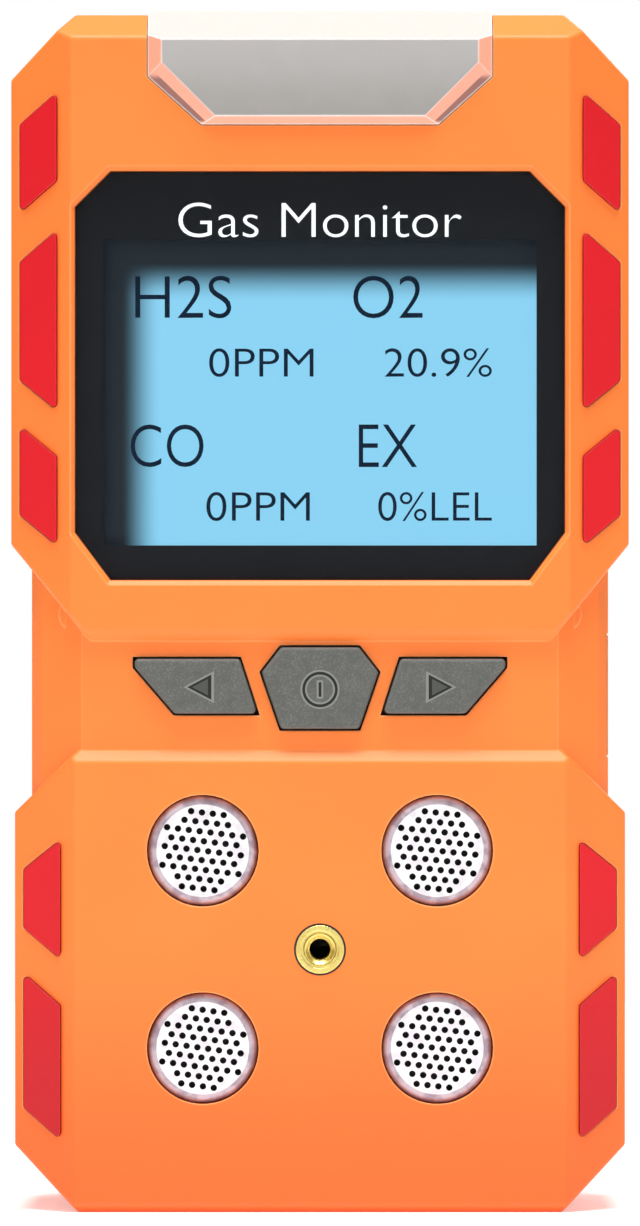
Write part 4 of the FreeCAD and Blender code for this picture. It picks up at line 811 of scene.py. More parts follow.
@dataclass(frozen=True)
class InletSteel:
    """Pale satin steel of the perforated inlets, or a darker copy of it on the rolled rim, painted shade
    where the sheet curves away.

    Attributes:
        name: The material's name.
        colour: Its colour.
        tint: The colour of its patches.
        metallic: How metallic it looks.
        roughness: How dull it is.
        patch: The size of its patches, in millimetres.
        grain: The size of its fine texture, in millimetres.
        depth: How deep that texture is, in millimetres.
    """

    name: str
    colour: Colour
    tint: Colour
    metallic: float
    roughness: float
    patch: float = 1.6
    grain: float = 0.09
    depth: float = 0.003

    def build(self) -> bpy.types.Material:
        """Draws up the material.

        Returns:
            The material.
        """
        sheet = MaterialSheet(self.name)
        patches = sheet.noise(self.patch, 2.0)
        grain = sheet.noise(self.grain, 2.0)
        colour = sheet.mix(patches.ramp(0.4, 0.65), self.colour, self.tint)
        rough = grain * 0.2 + (self.roughness - 0.1)
        return sheet.shade(Base_Color=colour, Metallic=self.metallic, Roughness=rough,
                           Normal=sheet.relief(grain, self.depth))


@dataclass(frozen=True)
class FrostedWindow:
    """Frosted clear plastic, milky on its flat front, with painted light: shade darker towards the bottom of
    the front and in strips along its sloping lower sides, a highlight on its top and along its edges, and the
    case's orange painted on its rim.

    Attributes:
        name: The material's name.
        low: Its lowest height, in metres.
        high: The height of its brow, in metres.
        foot: Half its width along its lower edge, in metres.
        slope: How far its lower corners are cut, across and up, in metres.
        front: The milky colour at the upper edge of the front, where the painted gradient is lightest.
        front_low_shade: The darker milky colour at the lower edge of the front, painted shade as light falls
            from above.
        rim: The colour of the sloped rim, painted orange light from the case seen through the clear plastic.
        crown_highlight: A painted highlight colour on its upward faces, where the top light falls.
        line: A painted highlight colour along its edges, where light catches them.
        haze: The colour of the faint haze on its front.
        side_shade: The colour of the painted shade strips along its sloping lower sides, where the window
            meets the case.
        side_shade_width: How far in from those sides the painted shade strips reach, in millimetres.
        edge_radius: How far the edges are rounded, in millimetres.
    """

    name: str
    low: float
    high: float
    foot: float
    slope: tuple[float, float]
    front: Colour = tone(166, 164, 162)
    front_low_shade: Colour = tone(144, 142, 137)
    rim: Colour = tone(238, 160, 132)
    crown_highlight: Colour = tone(196, 190, 184)
    line: Colour = tone(250, 240, 236)
    haze: Colour = tone(200, 190, 196)
    side_shade: Colour = tone(112, 58, 58)
    side_shade_width: float = 0.62
    edge_radius: float = 0.3

    def build(self) -> bpy.types.Material:
        """Draws up the material.

        Returns:
            The material.
        """
        sheet = MaterialSheet(self.name)
        facing = sheet.node("ShaderNodeTexCoord", output="Normal")
        _, backward, upward = sheet.axes(facing)
        across, _, height = sheet.axes(sheet.point())
        # Painted shade: the flat front is darker towards the bottom and lighter towards the top, as the light
        # falls from above.
        milk = sheet.mix(height.ramp(self.low, self.high), self.front_low_shade, self.front)
        milk = sheet.mix(sheet.noise(2.5, 3.0) * 0.14, milk, self.haze)
        flat = (backward * -1.0).ramp(0.93, 0.985)
        # Painted light: the sloped rim takes the case's orange, standing in for the case seen through the
        # clear plastic.
        colour = sheet.mix(flat, self.rim, milk)
        # Painted shade: a dark strip along each sloping lower side, where the window meets the case.
        colour = sheet.mix(self._side_shade_strips(across, height) * (1.0 - flat), colour, self.side_shade)
        # Painted highlight: faces turned upwards are paler, as the top light falls on them.
        colour = sheet.mix(upward.ramp(0.2, 0.45), colour, self.crown_highlight)
        rounded = sheet.rounded(self.edge_radius)
        # Painted highlight: a pale line along the edges, standing in for light caught there.
        colour = sheet.mix(sheet.edges(rounded, 0.002, 0.03) * 0.9, colour, self.line)
        frost = sheet.noise(0.12, 2.0)
        rough = frost * 0.12 + flat * 0.14 + 0.14
        return sheet.shade(Base_Color=colour, Roughness=rough, Coat_Weight=0.35, Coat_Roughness=0.08,
                           Subsurface_Weight=0.12, Subsurface_Scale=0.002,
                           Normal=sheet.relief(frost, 0.0015, rounded))

    def _side_shade_strips(self, across: Wire, height: Wire) -> Wire:
        """1 in a painted shade strip along each of the window's two sloping lower sides.

        Args:
            across: The place along X.
            height: The place along Z.

        Returns:
            The mask.
        """
        run, rise = self.slope
        above = height - self.low
        inwards = (above * run - (abs(across) - self.foot) * rise) / math.hypot(run, rise)
        ends = above.ramp(0.1 * MM, 0.5 * MM) * above.ramp(rise, rise - 0.8 * MM)
        return inwards.ramp(self.side_shade_width * MM, (self.side_shade_width - 0.12) * MM) * ends * 0.85


@dataclass(frozen=True)
class ClearLens:
    """Clear, coated display lens.

    Attributes:
        name: The material's name.
        index: The index that sets how much it reflects.
        gloss: The dark colour under its reflections.
        clear: How it tints what is behind it.
    """

    name: str
    index: float = 1.22
    gloss: Colour = (0.02, 0.022, 0.025)
    clear: Colour = (0.98, 0.99, 0.99)

    def build(self) -> bpy.types.Material:
        """Draws up the material.

        Returns:
            The material.
        """
        sheet = MaterialSheet(self.name)
        smear = sheet.noise(9.0, 3.0)
        gloss = sheet.principled(Base_Color=self.gloss, Roughness=smear * 0.05 + 0.015, Specular=0.6)
        clear = sheet.node("ShaderNodeBsdfTransparent", sockets={"Color": opaque(self.clear)})
        share = sheet.node("ShaderNodeFresnel", sockets={"IOR": self.index})
        inside = sheet.node("ShaderNodeNewGeometry", output="Backfacing")
        share = share * (1.0 - inside)
        return sheet.end(sheet.node("ShaderNodeMixShader", sockets={0: share, 1: clear, 2: gloss}))


@dataclass(frozen=True)
class LitPanel:
    """Back-lit display glass, with a painted shadow along its left and upper edges, where the border in front
    of it would shade it.

    Attributes:
        name: The material's name.
        left: Where the clear view starts, in metres.
        high: Its upper edge, in metres.
        shadow_fade: How far in the painted shadow takes to fade out from the left and upper edges.
        lit: The colour where it is fully lit.
        painted_shadow: The colour of the painted shadow at the left and upper edges.
        cloud: The colour of its faint cloudiness.
        off: The panel's own colour under its light.
        glow: How strongly it shines.
    """

    name: str
    left: float
    high: float
    shadow_fade: float
    lit: Colour = tone(140, 218, 253)
    painted_shadow: Colour = tone(10, 20, 28)
    cloud: Colour = tone(150, 214, 246)
    off: Colour = (0.01, 0.014, 0.018)
    glow: float = 0.94

    def build(self) -> bpy.types.Material:
        """Draws up the material.

        Returns:
            The material.
        """
        sheet = MaterialSheet(self.name)
        across, _, up = sheet.axes(sheet.point())
        # Painted shadow: the light is darkened towards the left and upper edges, standing in for the shadow
        # of the border in front of the panel.
        from_left = across.ramp(self.left, self.left + self.shadow_fade)
        from_top = up.ramp(self.high, self.high - self.shadow_fade)
        lit = sheet.mix(sheet.noise(16.0, 1.0) * 0.5, self.lit, self.cloud)
        colour = sheet.mix(from_left * from_top, self.painted_shadow, lit)
        cells = sheet.noise(0.2, 1.0)
        return sheet.shade(Base_Color=self.off, Roughness=cells * 0.1 + 0.35, Specular=0.2,
                           Emission_Color=colour, Emission_Strength=self.glow,
                           Normal=sheet.relief(cells, 0.001))


@dataclass(frozen=True)
class Ink:
    """Printed or displayed lettering and marks.

    Attributes:
        name: The material's name.
        colour: Its colour.
        glow: How strongly it shines by itself, a painted glow where it is above zero.
        roughness: How dull it is.
        shine: How strongly it reflects.
    """

    name: str
    colour: Colour
    glow: float = 0.0
    roughness: float = 0.55
    shine: float = 0.3

    def build(self) -> bpy.types.Material:
        """Draws up the material.

        Returns:
            The material.
        """
        sheet = MaterialSheet(self.name)
        dots = sheet.noise(0.15, 2.0)
        colour = sheet.mix(dots * 0.12, self.colour, dimmed(self.colour, 0.75))
        return sheet.shade(Base_Color=colour, Roughness=dots * 0.1 + (self.roughness - 0.05),
                           Emission_Color=colour, Emission_Strength=self.glow, Specular=self.shine,
                           Normal=sheet.relief(dots, 0.001))


@dataclass(frozen=True)
class CircuitBoard:
    """Green solder resist over copper tracks.

    Attributes:
        name: The material's name.
        resist: The colour of the resist.
        track: The colour where copper lies below it.
        pitch: The spacing of the tracks, in millimetres.
    """

    name: str
    resist: Colour = tone(14, 84, 46)
    track: Colour = tone(34, 122, 70)
    pitch: float = 1.1

    def build(self) -> bpy.types.Material:
        """Draws up the material.

        Returns:
            The material.
        """
        sheet = MaterialSheet(self.name)
        upright = sheet.node("ShaderNodeMapping", sockets={
            "Vector": sheet.point(), "Rotation": (math.pi / 2, 0.0, 0.0)})
        cells = sheet.node("ShaderNodeTexBrick", {"offset": 0.5}, {
            "Vector": upright, "Scale": 1.0 / (self.pitch * MM), "Mortar Size": 0.12, "Brick Width": 5.0,
            "Row Height": 0.9}, "Fac")
        colour = sheet.mix(cells, self.resist, self.track)
        weave = sheet.noise(0.25, 2.0)
        return sheet.shade(Base_Color=colour, Roughness=weave * 0.1 + 0.25,
                           Normal=sheet.relief(cells, 0.02), Coat_Weight=0.3)


@dataclass(frozen=True)
class StudioPaper:
    """Pale matt floor, with a little light of its own so that it stays pale away from the lights.

    Attributes:
        name: The material's name.
        glow: How strongly it shines.
        pale: Its colour.
        tooth: The colour of its grain.
    """

    name: str = "studio_paper"
    glow: float = 0.34
    pale: Colour = (0.90, 0.90, 0.89)
    tooth: Colour = (0.86, 0.86, 0.85)

    def build(self) -> bpy.types.Material:
        """Draws up the material.

        Returns:
            The material.
        """
        sheet = MaterialSheet(self.name)
        tooth = sheet.noise(1.2, 3.0)
        colour = sheet.mix(tooth * 0.2, self.pale, self.tooth)
        return sheet.shade(Base_Color=colour, Roughness=tooth * 0.1 + 0.85, Specular=0.1,
                           Emission_Color=WHITE, Emission_Strength=self.glow)


FinishKind = Union[Moulding, SoftRubber, Metal, InletSteel, FrostedWindow, ClearLens, LitPanel, Ink,
                   CircuitBoard, StudioPaper]


@lru_cache(maxsize=None)
def material_of(finish: FinishKind) -> bpy.types.Material:
    """The one material of a finish."""
    return finish.build()


# ORANGE_SHELL, RED_TRIM and CELL_MOULDING carry a painted highlight along their edges; the first two also
# painted shade towards their foot.
ORANGE_SHELL = Moulding("orange_shell", tone(250, 127, 53), edge_highlight_colour=tone(255, 178, 110), seam_y=0.0,
                        foot_shade_colour=tone(240, 100, 38))
RED_TRIM = Moulding("red_trim", tone(216, 13, 28), roughness=0.5, grain=0.25, edge_highlight_colour=tone(228, 52, 56),
                    edge_radius=0.2, foot_shade_colour=tone(184, 12, 25), foot_shade_height=46.0)
BLACK_MOULDING = Moulding("black_moulding", tone(28, 28, 29), roughness=0.5)
WHITE_MOULDING = Moulding("white_moulding", tone(228, 228, 224), roughness=0.5)
CELL_MOULDING = Moulding("cell_moulding", tone(206, 210, 216), edge_highlight_colour=tone(226, 228, 232))
FILTER_FELT = Moulding("filter_felt", tone(44, 42, 46), roughness=0.9, grain=0.12, depth=0.03)
# KEY_RUBBER and COVER_RUBBER carry a painted highlight along their edges.
KEY_RUBBER = SoftRubber("key_rubber", tone(88, 89, 86), tone(110, 112, 108),
                        edge_highlight_colour=tone(176, 174, 176))
COVER_RUBBER = SoftRubber("cover_rubber", tone(238, 120, 48), tone(246, 132, 60),
                          edge_highlight_colour=tone(254, 154, 84))
SEAL_RUBBER = SoftRubber("seal_rubber", tone(30, 30, 31), tone(44, 44, 45))
FOAM = SoftRubber("foam", tone(46, 46, 48), tone(70, 70, 72), speck=0.4, roughness=0.95)
CLIP_STEEL = Metal("clip_steel", tone(202, 203, 206), 0.3, Grain.ALONG_Z, stain=tone(186, 187, 190))
SCREW_STEEL = Metal("screw_steel", tone(150, 151, 154), 0.32)
CAN_STEEL = Metal("can_steel", tone(186, 187, 190), 0.34, Grain.ALONG_X)
FOIL = Metal("pouch_foil", tone(190, 191, 196), 0.4, line=0.6)
PLATE_METAL = Metal("plate_metal", tone(186, 187, 190), 0.38, Grain.ALONG_X, 0.08, tone(174, 175, 178))
BRASS = Metal("brass", tone(252, 232, 140), 0.3, line=0.3, stain=tone(228, 190, 92))
GOLD = Metal("gold_plate", tone(238, 200, 110), 0.25)
MESH_STEEL = InletSteel("inlet_mesh_steel", tone(234, 234, 234), tone(214, 210, 216), 0.1, 0.42)
# The rim steel is a darker copy of the face steel: painted shade on the rolled shoulder.
RIM_STEEL_SHADED = InletSteel("inlet_rim_steel_shaded", tone(188, 174, 184), tone(150, 134, 146), 0.35, 0.36)
BORDER_PRINT = Ink("border_print", tone(24, 26, 30), roughness=0.6, shine=0.1)
# The printed title has a painted glow: it shines by itself though no lamp is behind it.
TITLE_INK_PAINTED_GLOW = Ink("title_ink_painted_glow", tone(226, 230, 234), glow=0.35)
SEGMENT_INK = Ink("segment_ink", tone(20, 34, 52), roughness=0.8, shine=0.05)
MARK_INK = Ink("mark_ink", tone(26, 30, 27))
MARK_FILL = Ink("mark_fill", tone(72, 74, 71))
MARK_LIP = Ink("mark_lip", tone(126, 129, 124))
GROOVE_SHADE = Metal("groove_shade", tone(176, 142, 62), 0.4)
BOARD = CircuitBoard("circuit_board")
RIBBON_FILM = Moulding("ribbon_film", tone(196, 128, 52), roughness=0.3, grain=1.0)
LAMP_RED = Moulding("lamp_red", tone(206, 40, 34), roughness=0.25)


# -------------------------------------------------------------------------------------- sub-assemblies

@dataclass
class SubAssembly:
    """A group of pieces that is built and dressed together.

    Attributes:
        frame: The loaded frame.
    """

    frame: Mapping[str, Any]

    def build(self) -> None:
        """Makes and dresses the group's pieces."""
        raise NotImplementedError

    def dress(self, finish: FinishKind, *nodes: str) -> None:
        """Gives CAD nodes a finish.

        Args:
            finish: The finish.
            nodes: The nodes' names.
        """
        for name in nodes:
            node = self.frame["nodes"][name]
            for place in node.material_slots:
                place.material = material_of(finish)
            LOG.info("dressed %s with %s", name, finish.name)

    def seat(self, piece: bpy.types.Object, body: str, slot: str, finish: Optional[FinishKind] = None,
             replaces: Sequence[str] = ()) -> None:
        """Gives a new piece its finish and its body.

        Args:
            piece: The piece, at the origin.
            body: The CAD body that it moves with.
            slot: The record's material slot that it would take its finish from; not used.
            finish: Its finish, or None where its mesh already has one.
            replaces: The CAD nodes that it stands for.
        """
        if finish is not None:
            piece.data.materials.clear()
            piece.data.materials.append(material_of(finish))
        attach(piece, body)
        if replaces:
            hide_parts(*replaces)
        LOG.info("made %s on %s, %d faces", piece.name, body, len(piece.data.polygons))


def box_of(*nodes: str) -> tuple[Vector, Vector]:
    """The box round some CAD nodes together.

    Args:
        nodes: The nodes' names.

    Returns:
        Its lowest and highest corners.
    """
    corners = [Vector(corner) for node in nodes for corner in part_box(node)]
    low = Vector([min(c[i] for c in corners) for i in range(3)])
    high = Vector([max(c[i] for c in corners) for i in range(3)])
    return low, high


@dataclass(frozen=True)
class Fastener:
    """A pan-head screw with a six-lobed recess. Sizes in millimetres.

    Attributes:
        head_radius: Radius of its head.
        head_height: Height of its head.
        recess_radius: Radius of its recess.
        recess_depth: Depth of its recess.
        shank_radius: Radius of its shank.
        shank_length: Length of its shank.
    """

    head_radius: float
    head_height: float
    recess_radius: float
    recess_depth: float
    shank_radius: float
    shank_length: float

    def mesh(self, name: str) -> bpy.types.Mesh:
        """The screw with its seat at the origin and its head towards +Y.

        Args:
            name: The mesh's name.

        Returns:
            The mesh.
        """
        head, top = self.head_radius, self.head_height
        round_off = 0.32 * top
        profile = [
            (0.0, top - self.recess_depth),
            (self.recess_radius * 0.9, top - self.recess_depth),
            (self.recess_radius, top - 0.06),
            (self.recess_radius + 0.06, top),
            (head - round_off * 1.3, top * 0.985),
            (head - round_off * 0.5, top - round_off * 0.35),
            (head - round_off * 0.1, top - round_off * 0.9),
            (head, top - round_off * 1.6),
            (head, 0.0),
            (self.shank_radius, 0.0),
            (self.shank_radius, -self.shank_length),
            (0.0, -self.shank_length),
        ]
        scaled = [(radius * MM, y * MM) for radius, y in profile]
        return lathe(name, scaled, SCREW_SIDES, {1: 0.13, 2: 0.13, 3: 0.12})


class FastenerRow:
    """A Geometry Nodes tree that puts one screw on each point, each turned its own way.

    LEAST and MOST number the inputs that bound a random number, and NUMBER its output.
    """

    LEAST, MOST, NUMBER = 2, 3, 1

    def __init__(self) -> None:
        """Draws up the tree."""
        sheet = ShapeSheet("screws_on_points")
        screw = sheet.size("Screw", "Object")
        seed = sheet.size("Turn seed", "Int")
        most = sheet.size("Most turn")
        material = sheet.size("Finish", "Material")
        body = sheet.node("GeometryNodeObjectInfo", sockets={"Object": screw}, output="Geometry")
        turn = sheet.node("FunctionNodeRandomValue", {"data_type": "FLOAT"},
                          {self.LEAST: 0.0, self.MOST: most, "Seed": seed}, self.NUMBER)
        placed = sheet.node("GeometryNodeInstanceOnPoints", sockets={
            "Points": sheet.points, "Instance": body, "Rotation": sheet.vector(y=turn)})
        self.sheet = sheet.finish(sheet.painted(placed, material))

    def make(self, name: str, fastener: Fastener, spots: Sequence[Triple], seed: int,
             finish: FinishKind) -> bpy.types.Object:
        """Makes a set of screws.

        Args:
            name: The piece's name.
            fastener: The screw.
            spots: Where each one's seat is.
            seed: Sets how each is turned.
            finish: Their finish.

        Returns:
            The set, as one piece.
        """
        pattern = add_object(f"{name}_pattern", fastener.mesh(f"{name}_pattern"))
        piece = self.sheet.make(name, {"Screw": pattern, "Turn seed": seed, "Most turn": math.pi / 3,
                                       "Finish": material_of(finish)}, spots)
        bpy.data.objects.remove(pattern)
        smooth_by_angle(piece.data)
        return piece


@dataclass
class CaseShells(SubAssembly):
    """The two shells, their seal and screws, and the plate in the back.

    Attributes:
        screws: The tree that places screws.
        case_screw: The case screw.
        frame_inset: How far in from the plate's edge its line runs, in millimetres.
        frame_line: Width of that line, in millimetres.
    """

    screws: FastenerRow
    case_screw: Fastener = Fastener(2.3, 1.6, 1.15, 1.0, 1.25, 16.0)
    frame_inset: float = 1.2
    frame_line: float = 0.35

    def build(self) -> None:
        """Makes and dresses the group's pieces."""
        self.dress(ORANGE_SHELL, "front_case", "rear_case")
        self.dress(SEAL_RUBBER, "case_seal")
        self.dress(BRASS, "thread_inserts")
        self.dress(PLATE_METAL, "rating_plate")
        self._place_screws()
        self._rule_plate()

    def _place_screws(self) -> None:
        """Puts the four case screws in their pockets."""
        low, high = box_of("case_screws")
        head = self.case_screw.head_radius * MM
        seat_y = high.y - self.case_screw.head_height * MM
        spots = [(x, seat_y, z) for x in (low.x + head, high.x - head)
                 for z in (low.z + head, high.z - head)]
        piece = self.screws.make("case_screw_set", self.case_screw, spots, 3, SCREW_STEEL)
        self.seat(piece, "case", "screw_steel", replaces=["case_screws"])

    def _rule_plate(self) -> None:
        """Prints a thin frame line on the blank plate."""
        low, high = box_of("rating_plate")
        loops = [rectangle(low.x + step, low.z + step, high.x - step, high.z - step)
                 for step in (self.frame_inset * MM, (self.frame_inset + self.frame_line) * MM)]
        piece = flat_plate("plate_frame_line", loops, high.y - 0.005 * MM, PRINT_THICKNESS)
        self.seat(piece, "case", "black_print", MARK_INK)


@dataclass
class SideInserts(SubAssembly):
    """The ten coloured inserts in the sloped sides."""

    def build(self) -> None:
        """Dresses the inserts."""
        self.dress(RED_TRIM, *[name for name in self.frame["nodes"] if name.startswith("insert_")])


class Role(Enum):
    """What a piece of lettering on the display is."""

    TITLE = "title"
    GAS = "gas"
    READING = "reading"


@dataclass(frozen=True)
class Lettering:
    """One line of letters on the display. Sizes in millimetres.

    Attributes:
        label: The piece's name.
        text: The letters.
        role: What it is.
        left: Its left edge from the middle of the display.
        width: Its width.
        drop: Its lower edge below the top of the lens.
        height: The height of its capitals.
    """

    label: str
    text: str
    role: Role
    left: float
    width: float
    drop: float
    height: float

    def piece(self, lens_top: float, face_y: float) -> bpy.types.Object:
        """The letters as a thin mesh that faces -Y.

        Args:
            lens_top: The height of the lens's top edge.
            face_y: Where the letters' front is.

        Returns:
            The piece.
        """
        curve = bpy.data.curves.new(self.label, "FONT")
        curve.body = self.text
        curve.resolution_u = 6
        curve.extrude = 0.5
        curve.offset = -0.012 if self.role is Role.TITLE else -0.008
        corner = (self.left * MM, lens_top - self.drop * MM, -PRINT_THICKNESS / 2)
        size = (self.width * MM, self.height * MM, PRINT_THICKNESS)
        return stand_up(self.label, curve, face_y, PRINT_THICKNESS,
                        lambda mesh: self._fit(mesh, corner, size))

    @staticmethod
    def _fit(mesh: bpy.types.Mesh, corner: Triple, size: Triple) -> None:
        """Scales and moves flat letters into a box.

        Args:
            mesh: The letters, in their own plane.
            corner: The box's lowest corner.
            size: The box's size.
        """
        spans = [(min(values), max(values)) for values in zip(*(v.co for v in mesh.vertices))]
        for vertex in mesh.vertices:
            vertex.co = [start + (place - low) * length / (high - low)
                         for start, length, place, (low, high) in zip(corner, size, vertex.co, spans)]


@dataclass
class DisplayUnit(SubAssembly):
    """Lens, printed border, lit panel and what it shows.

    Attributes:
        side_border: How far in from the lens's side the painted shadow on the panel starts, in millimetres.
        top_border: How far down from the lens's top the painted shadow on the panel starts, in millimetres.
        shadow_fade: How far the painted shadow at the panel's left and upper edges takes to fade out, in
            millimetres.
        stand_off: How far letters stand out from what they lie on, in millimetres.
        lines: The title and the readings.
    """

    side_border: float = 4.9
    top_border: float = 9.7
    shadow_fade: float = 4.4
    stand_off: float = 0.04
    lines: tuple[Lettering, ...] = (
        Lettering("title", "Gas Monitor", Role.TITLE, -15.3, 30.6, 7.05, 3.74),
        Lettering("gas_upper_left", "H2S", Role.GAS, -20.0, 10.4, 15.75, 4.6),
        Lettering("gas_upper_right", "O2", Role.GAS, 3.6, 7.5, 15.75, 4.6),
        Lettering("reading_upper_left", "0PPM", Role.READING, -12.0, 11.3, 22.1, 3.1),
        Lettering("reading_upper_right", "20.9%", Role.READING, 7.0, 11.6, 22.1, 3.1),
        Lettering("gas_lower_left", "CO", Role.GAS, -20.5, 7.9, 31.85, 4.6),
        Lettering("gas_lower_right", "EX", Role.GAS, 4.2, 6.3, 31.85, 4.6),
        Lettering("reading_lower_left", "0PPM", Role.READING, -12.3, 11.2, 37.7, 3.15),
        Lettering("reading_lower_right", "0%LEL", Role.READING, 6.3, 12.3, 37.7, 3.15),
    )

    def build(self) -> None:
        """Makes and dresses the group's pieces."""
        self.dress(ClearLens("display_lens_clear"), "display_lens")
        self.dress(BORDER_PRINT, "lens_mask")
        self.dress(self._panel_finish(), "display_glass")
        self.dress(WHITE_MOULDING, "display_backlight")
        self.dress(CAN_STEEL, "display_tray")
        _, lens_high = box_of("display_lens")
        mask_low, _ = box_of("lens_mask")
        glass_low, _ = box_of("display_glass")
        for line in self.lines:
            is_title = line.role is Role.TITLE
            face = (mask_low.y if is_title else glass_low.y) - self.stand_off * MM
            piece = line.piece(lens_high.z, face)
            self.seat(piece, "case", "white_plastic" if is_title else "black_print",
                      TITLE_INK_PAINTED_GLOW if is_title else SEGMENT_INK)

    def _panel_finish(self) -> LitPanel:
        """The lit panel's finish, placed by the border's opening."""
        low, high = box_of("display_lens")
        return LitPanel("display_panel", low.x + self.side_border * MM, high.z - self.top_border * MM,
                        self.shadow_fade * MM)


@dataclass
class Keypad(SubAssembly):
    """The three keys with their marks, and what lies below them.

    Attributes:
        ring_radius: Radius of the ring on the middle key, to the middle of its line, in millimetres.
        line: The width of the marks' lines, in millimetres.
        lip: How far the pale lip stands out round a mark, in millimetres.
        bar: Half the height of the bar in the ring, in millimetres.
        arrow: Half the height of the arrow marks, in millimetres.
        arrow_line: How much less high, from its middle, the inside of an arrow is, in millimetres.
        arrow_lean: How far the arrows stand off their keys' middles, towards the case's middle, in
            millimetres.
        power_drop: How far the ring stands below its key's middle, in millimetres.
        arrow_drop: How far the arrows stand below their keys' middles, in millimetres.
    """

    ring_radius: float = 1.76
    line: float = 0.3
    lip: float = 0.2
    bar: float = 0.78
    arrow: float = 1.36
    arrow_line: float = 0.46
    arrow_lean: float = 0.5
    power_drop: float = 0.15
    arrow_drop: float = 0.1

    def build(self) -> None:
        """Makes and dresses the group's pieces."""
        names = ("left", "power", "right")
        self.dress(KEY_RUBBER, *[f"button_{name}" for name in names], "keypad_seal")
        self.dress(BLACK_MOULDING, *[f"plunger_{name}" for name in names])
        self.dress(CAN_STEEL, "tact_switches")
        self._mark_power()
        for name, way in (("left", -1.0), ("right", 1.0)):
            self._mark_arrow(name, way)

    def _mark_power(self) -> None:
        """Prints the ring and bar on the middle key, each as a dark line on a wider pale lip."""
        low, high = box_of("button_power")
        x, z = (low.x + high.x) / 2, (low.z + high.z) / 2 - self.power_drop * MM
        radius = self.ring_radius * MM
        for layer, grow, lift, finish in (("lip", self.lip * MM, 0.012, MARK_LIP),
                                          ("line", 0.0, 0.024, MARK_INK)):
            half, reach = self.line * MM / 2 + grow, self.bar * MM + grow
            shapes = (
                ("ring", [ring_loop((x, z), radius + half), ring_loop((x, z), radius - half)]),
                ("bar", [rectangle(x - half, z - reach, x + half, z + reach)]),
            )
            for part, loops in shapes:
                piece = flat_plate(f"power_{part}_{layer}", loops, low.y - lift * MM, PRINT_THICKNESS)
                self.seat(piece, "key_power", "black_print", finish)

    def _mark_arrow(self, name: str, way: float) -> None:
        """Prints an arrow on a side key.

        Args:
            name: The key.
            way: -1 where it points left, 1 where it points right.
        """
        low, high = box_of(f"button_{name}")
        x = (low.x + high.x) / 2 - way * self.arrow_lean * MM
        z = (low.z + high.z) / 2 - self.arrow_drop * MM

        def arrow(size: float) -> list[tuple[float, float]]:
            """An arrow head of a half height, about its own middle."""
            tip, back = x + way * size * 1.12, x - way * size * 0.78
            return [(tip, z), (back, z + size), (back, z - size)]

        outer, inner = self.arrow * MM, (self.arrow - self.arrow_line) * MM
        layers = (
            ("lip", [arrow(outer + 0.38 * MM)], MARK_LIP, 0.010),
            ("fill", [arrow(inner + 0.05 * MM)], MARK_FILL, 0.018),
            ("line", [arrow(outer), arrow(inner)], MARK_INK, 0.026),
        )
        for layer, loops, finish, lift in layers:
            piece = flat_plate(f"arrow_{name}_{layer}", loops, low.y - lift * MM, PRINT_THICKNESS)
            self.seat(piece, f"key_{name}", "black_print", finish)


def circle_curve(sheet: ShapeSheet, radius: Wire, sides: int) -> Wire:
    """A circle of a radius and a number of sides, as a curve."""
    return sheet.node("GeometryNodeCurvePrimitiveCircle", {"mode": "RADIUS"},
                      {"Resolution": sides, "Radius": radius})


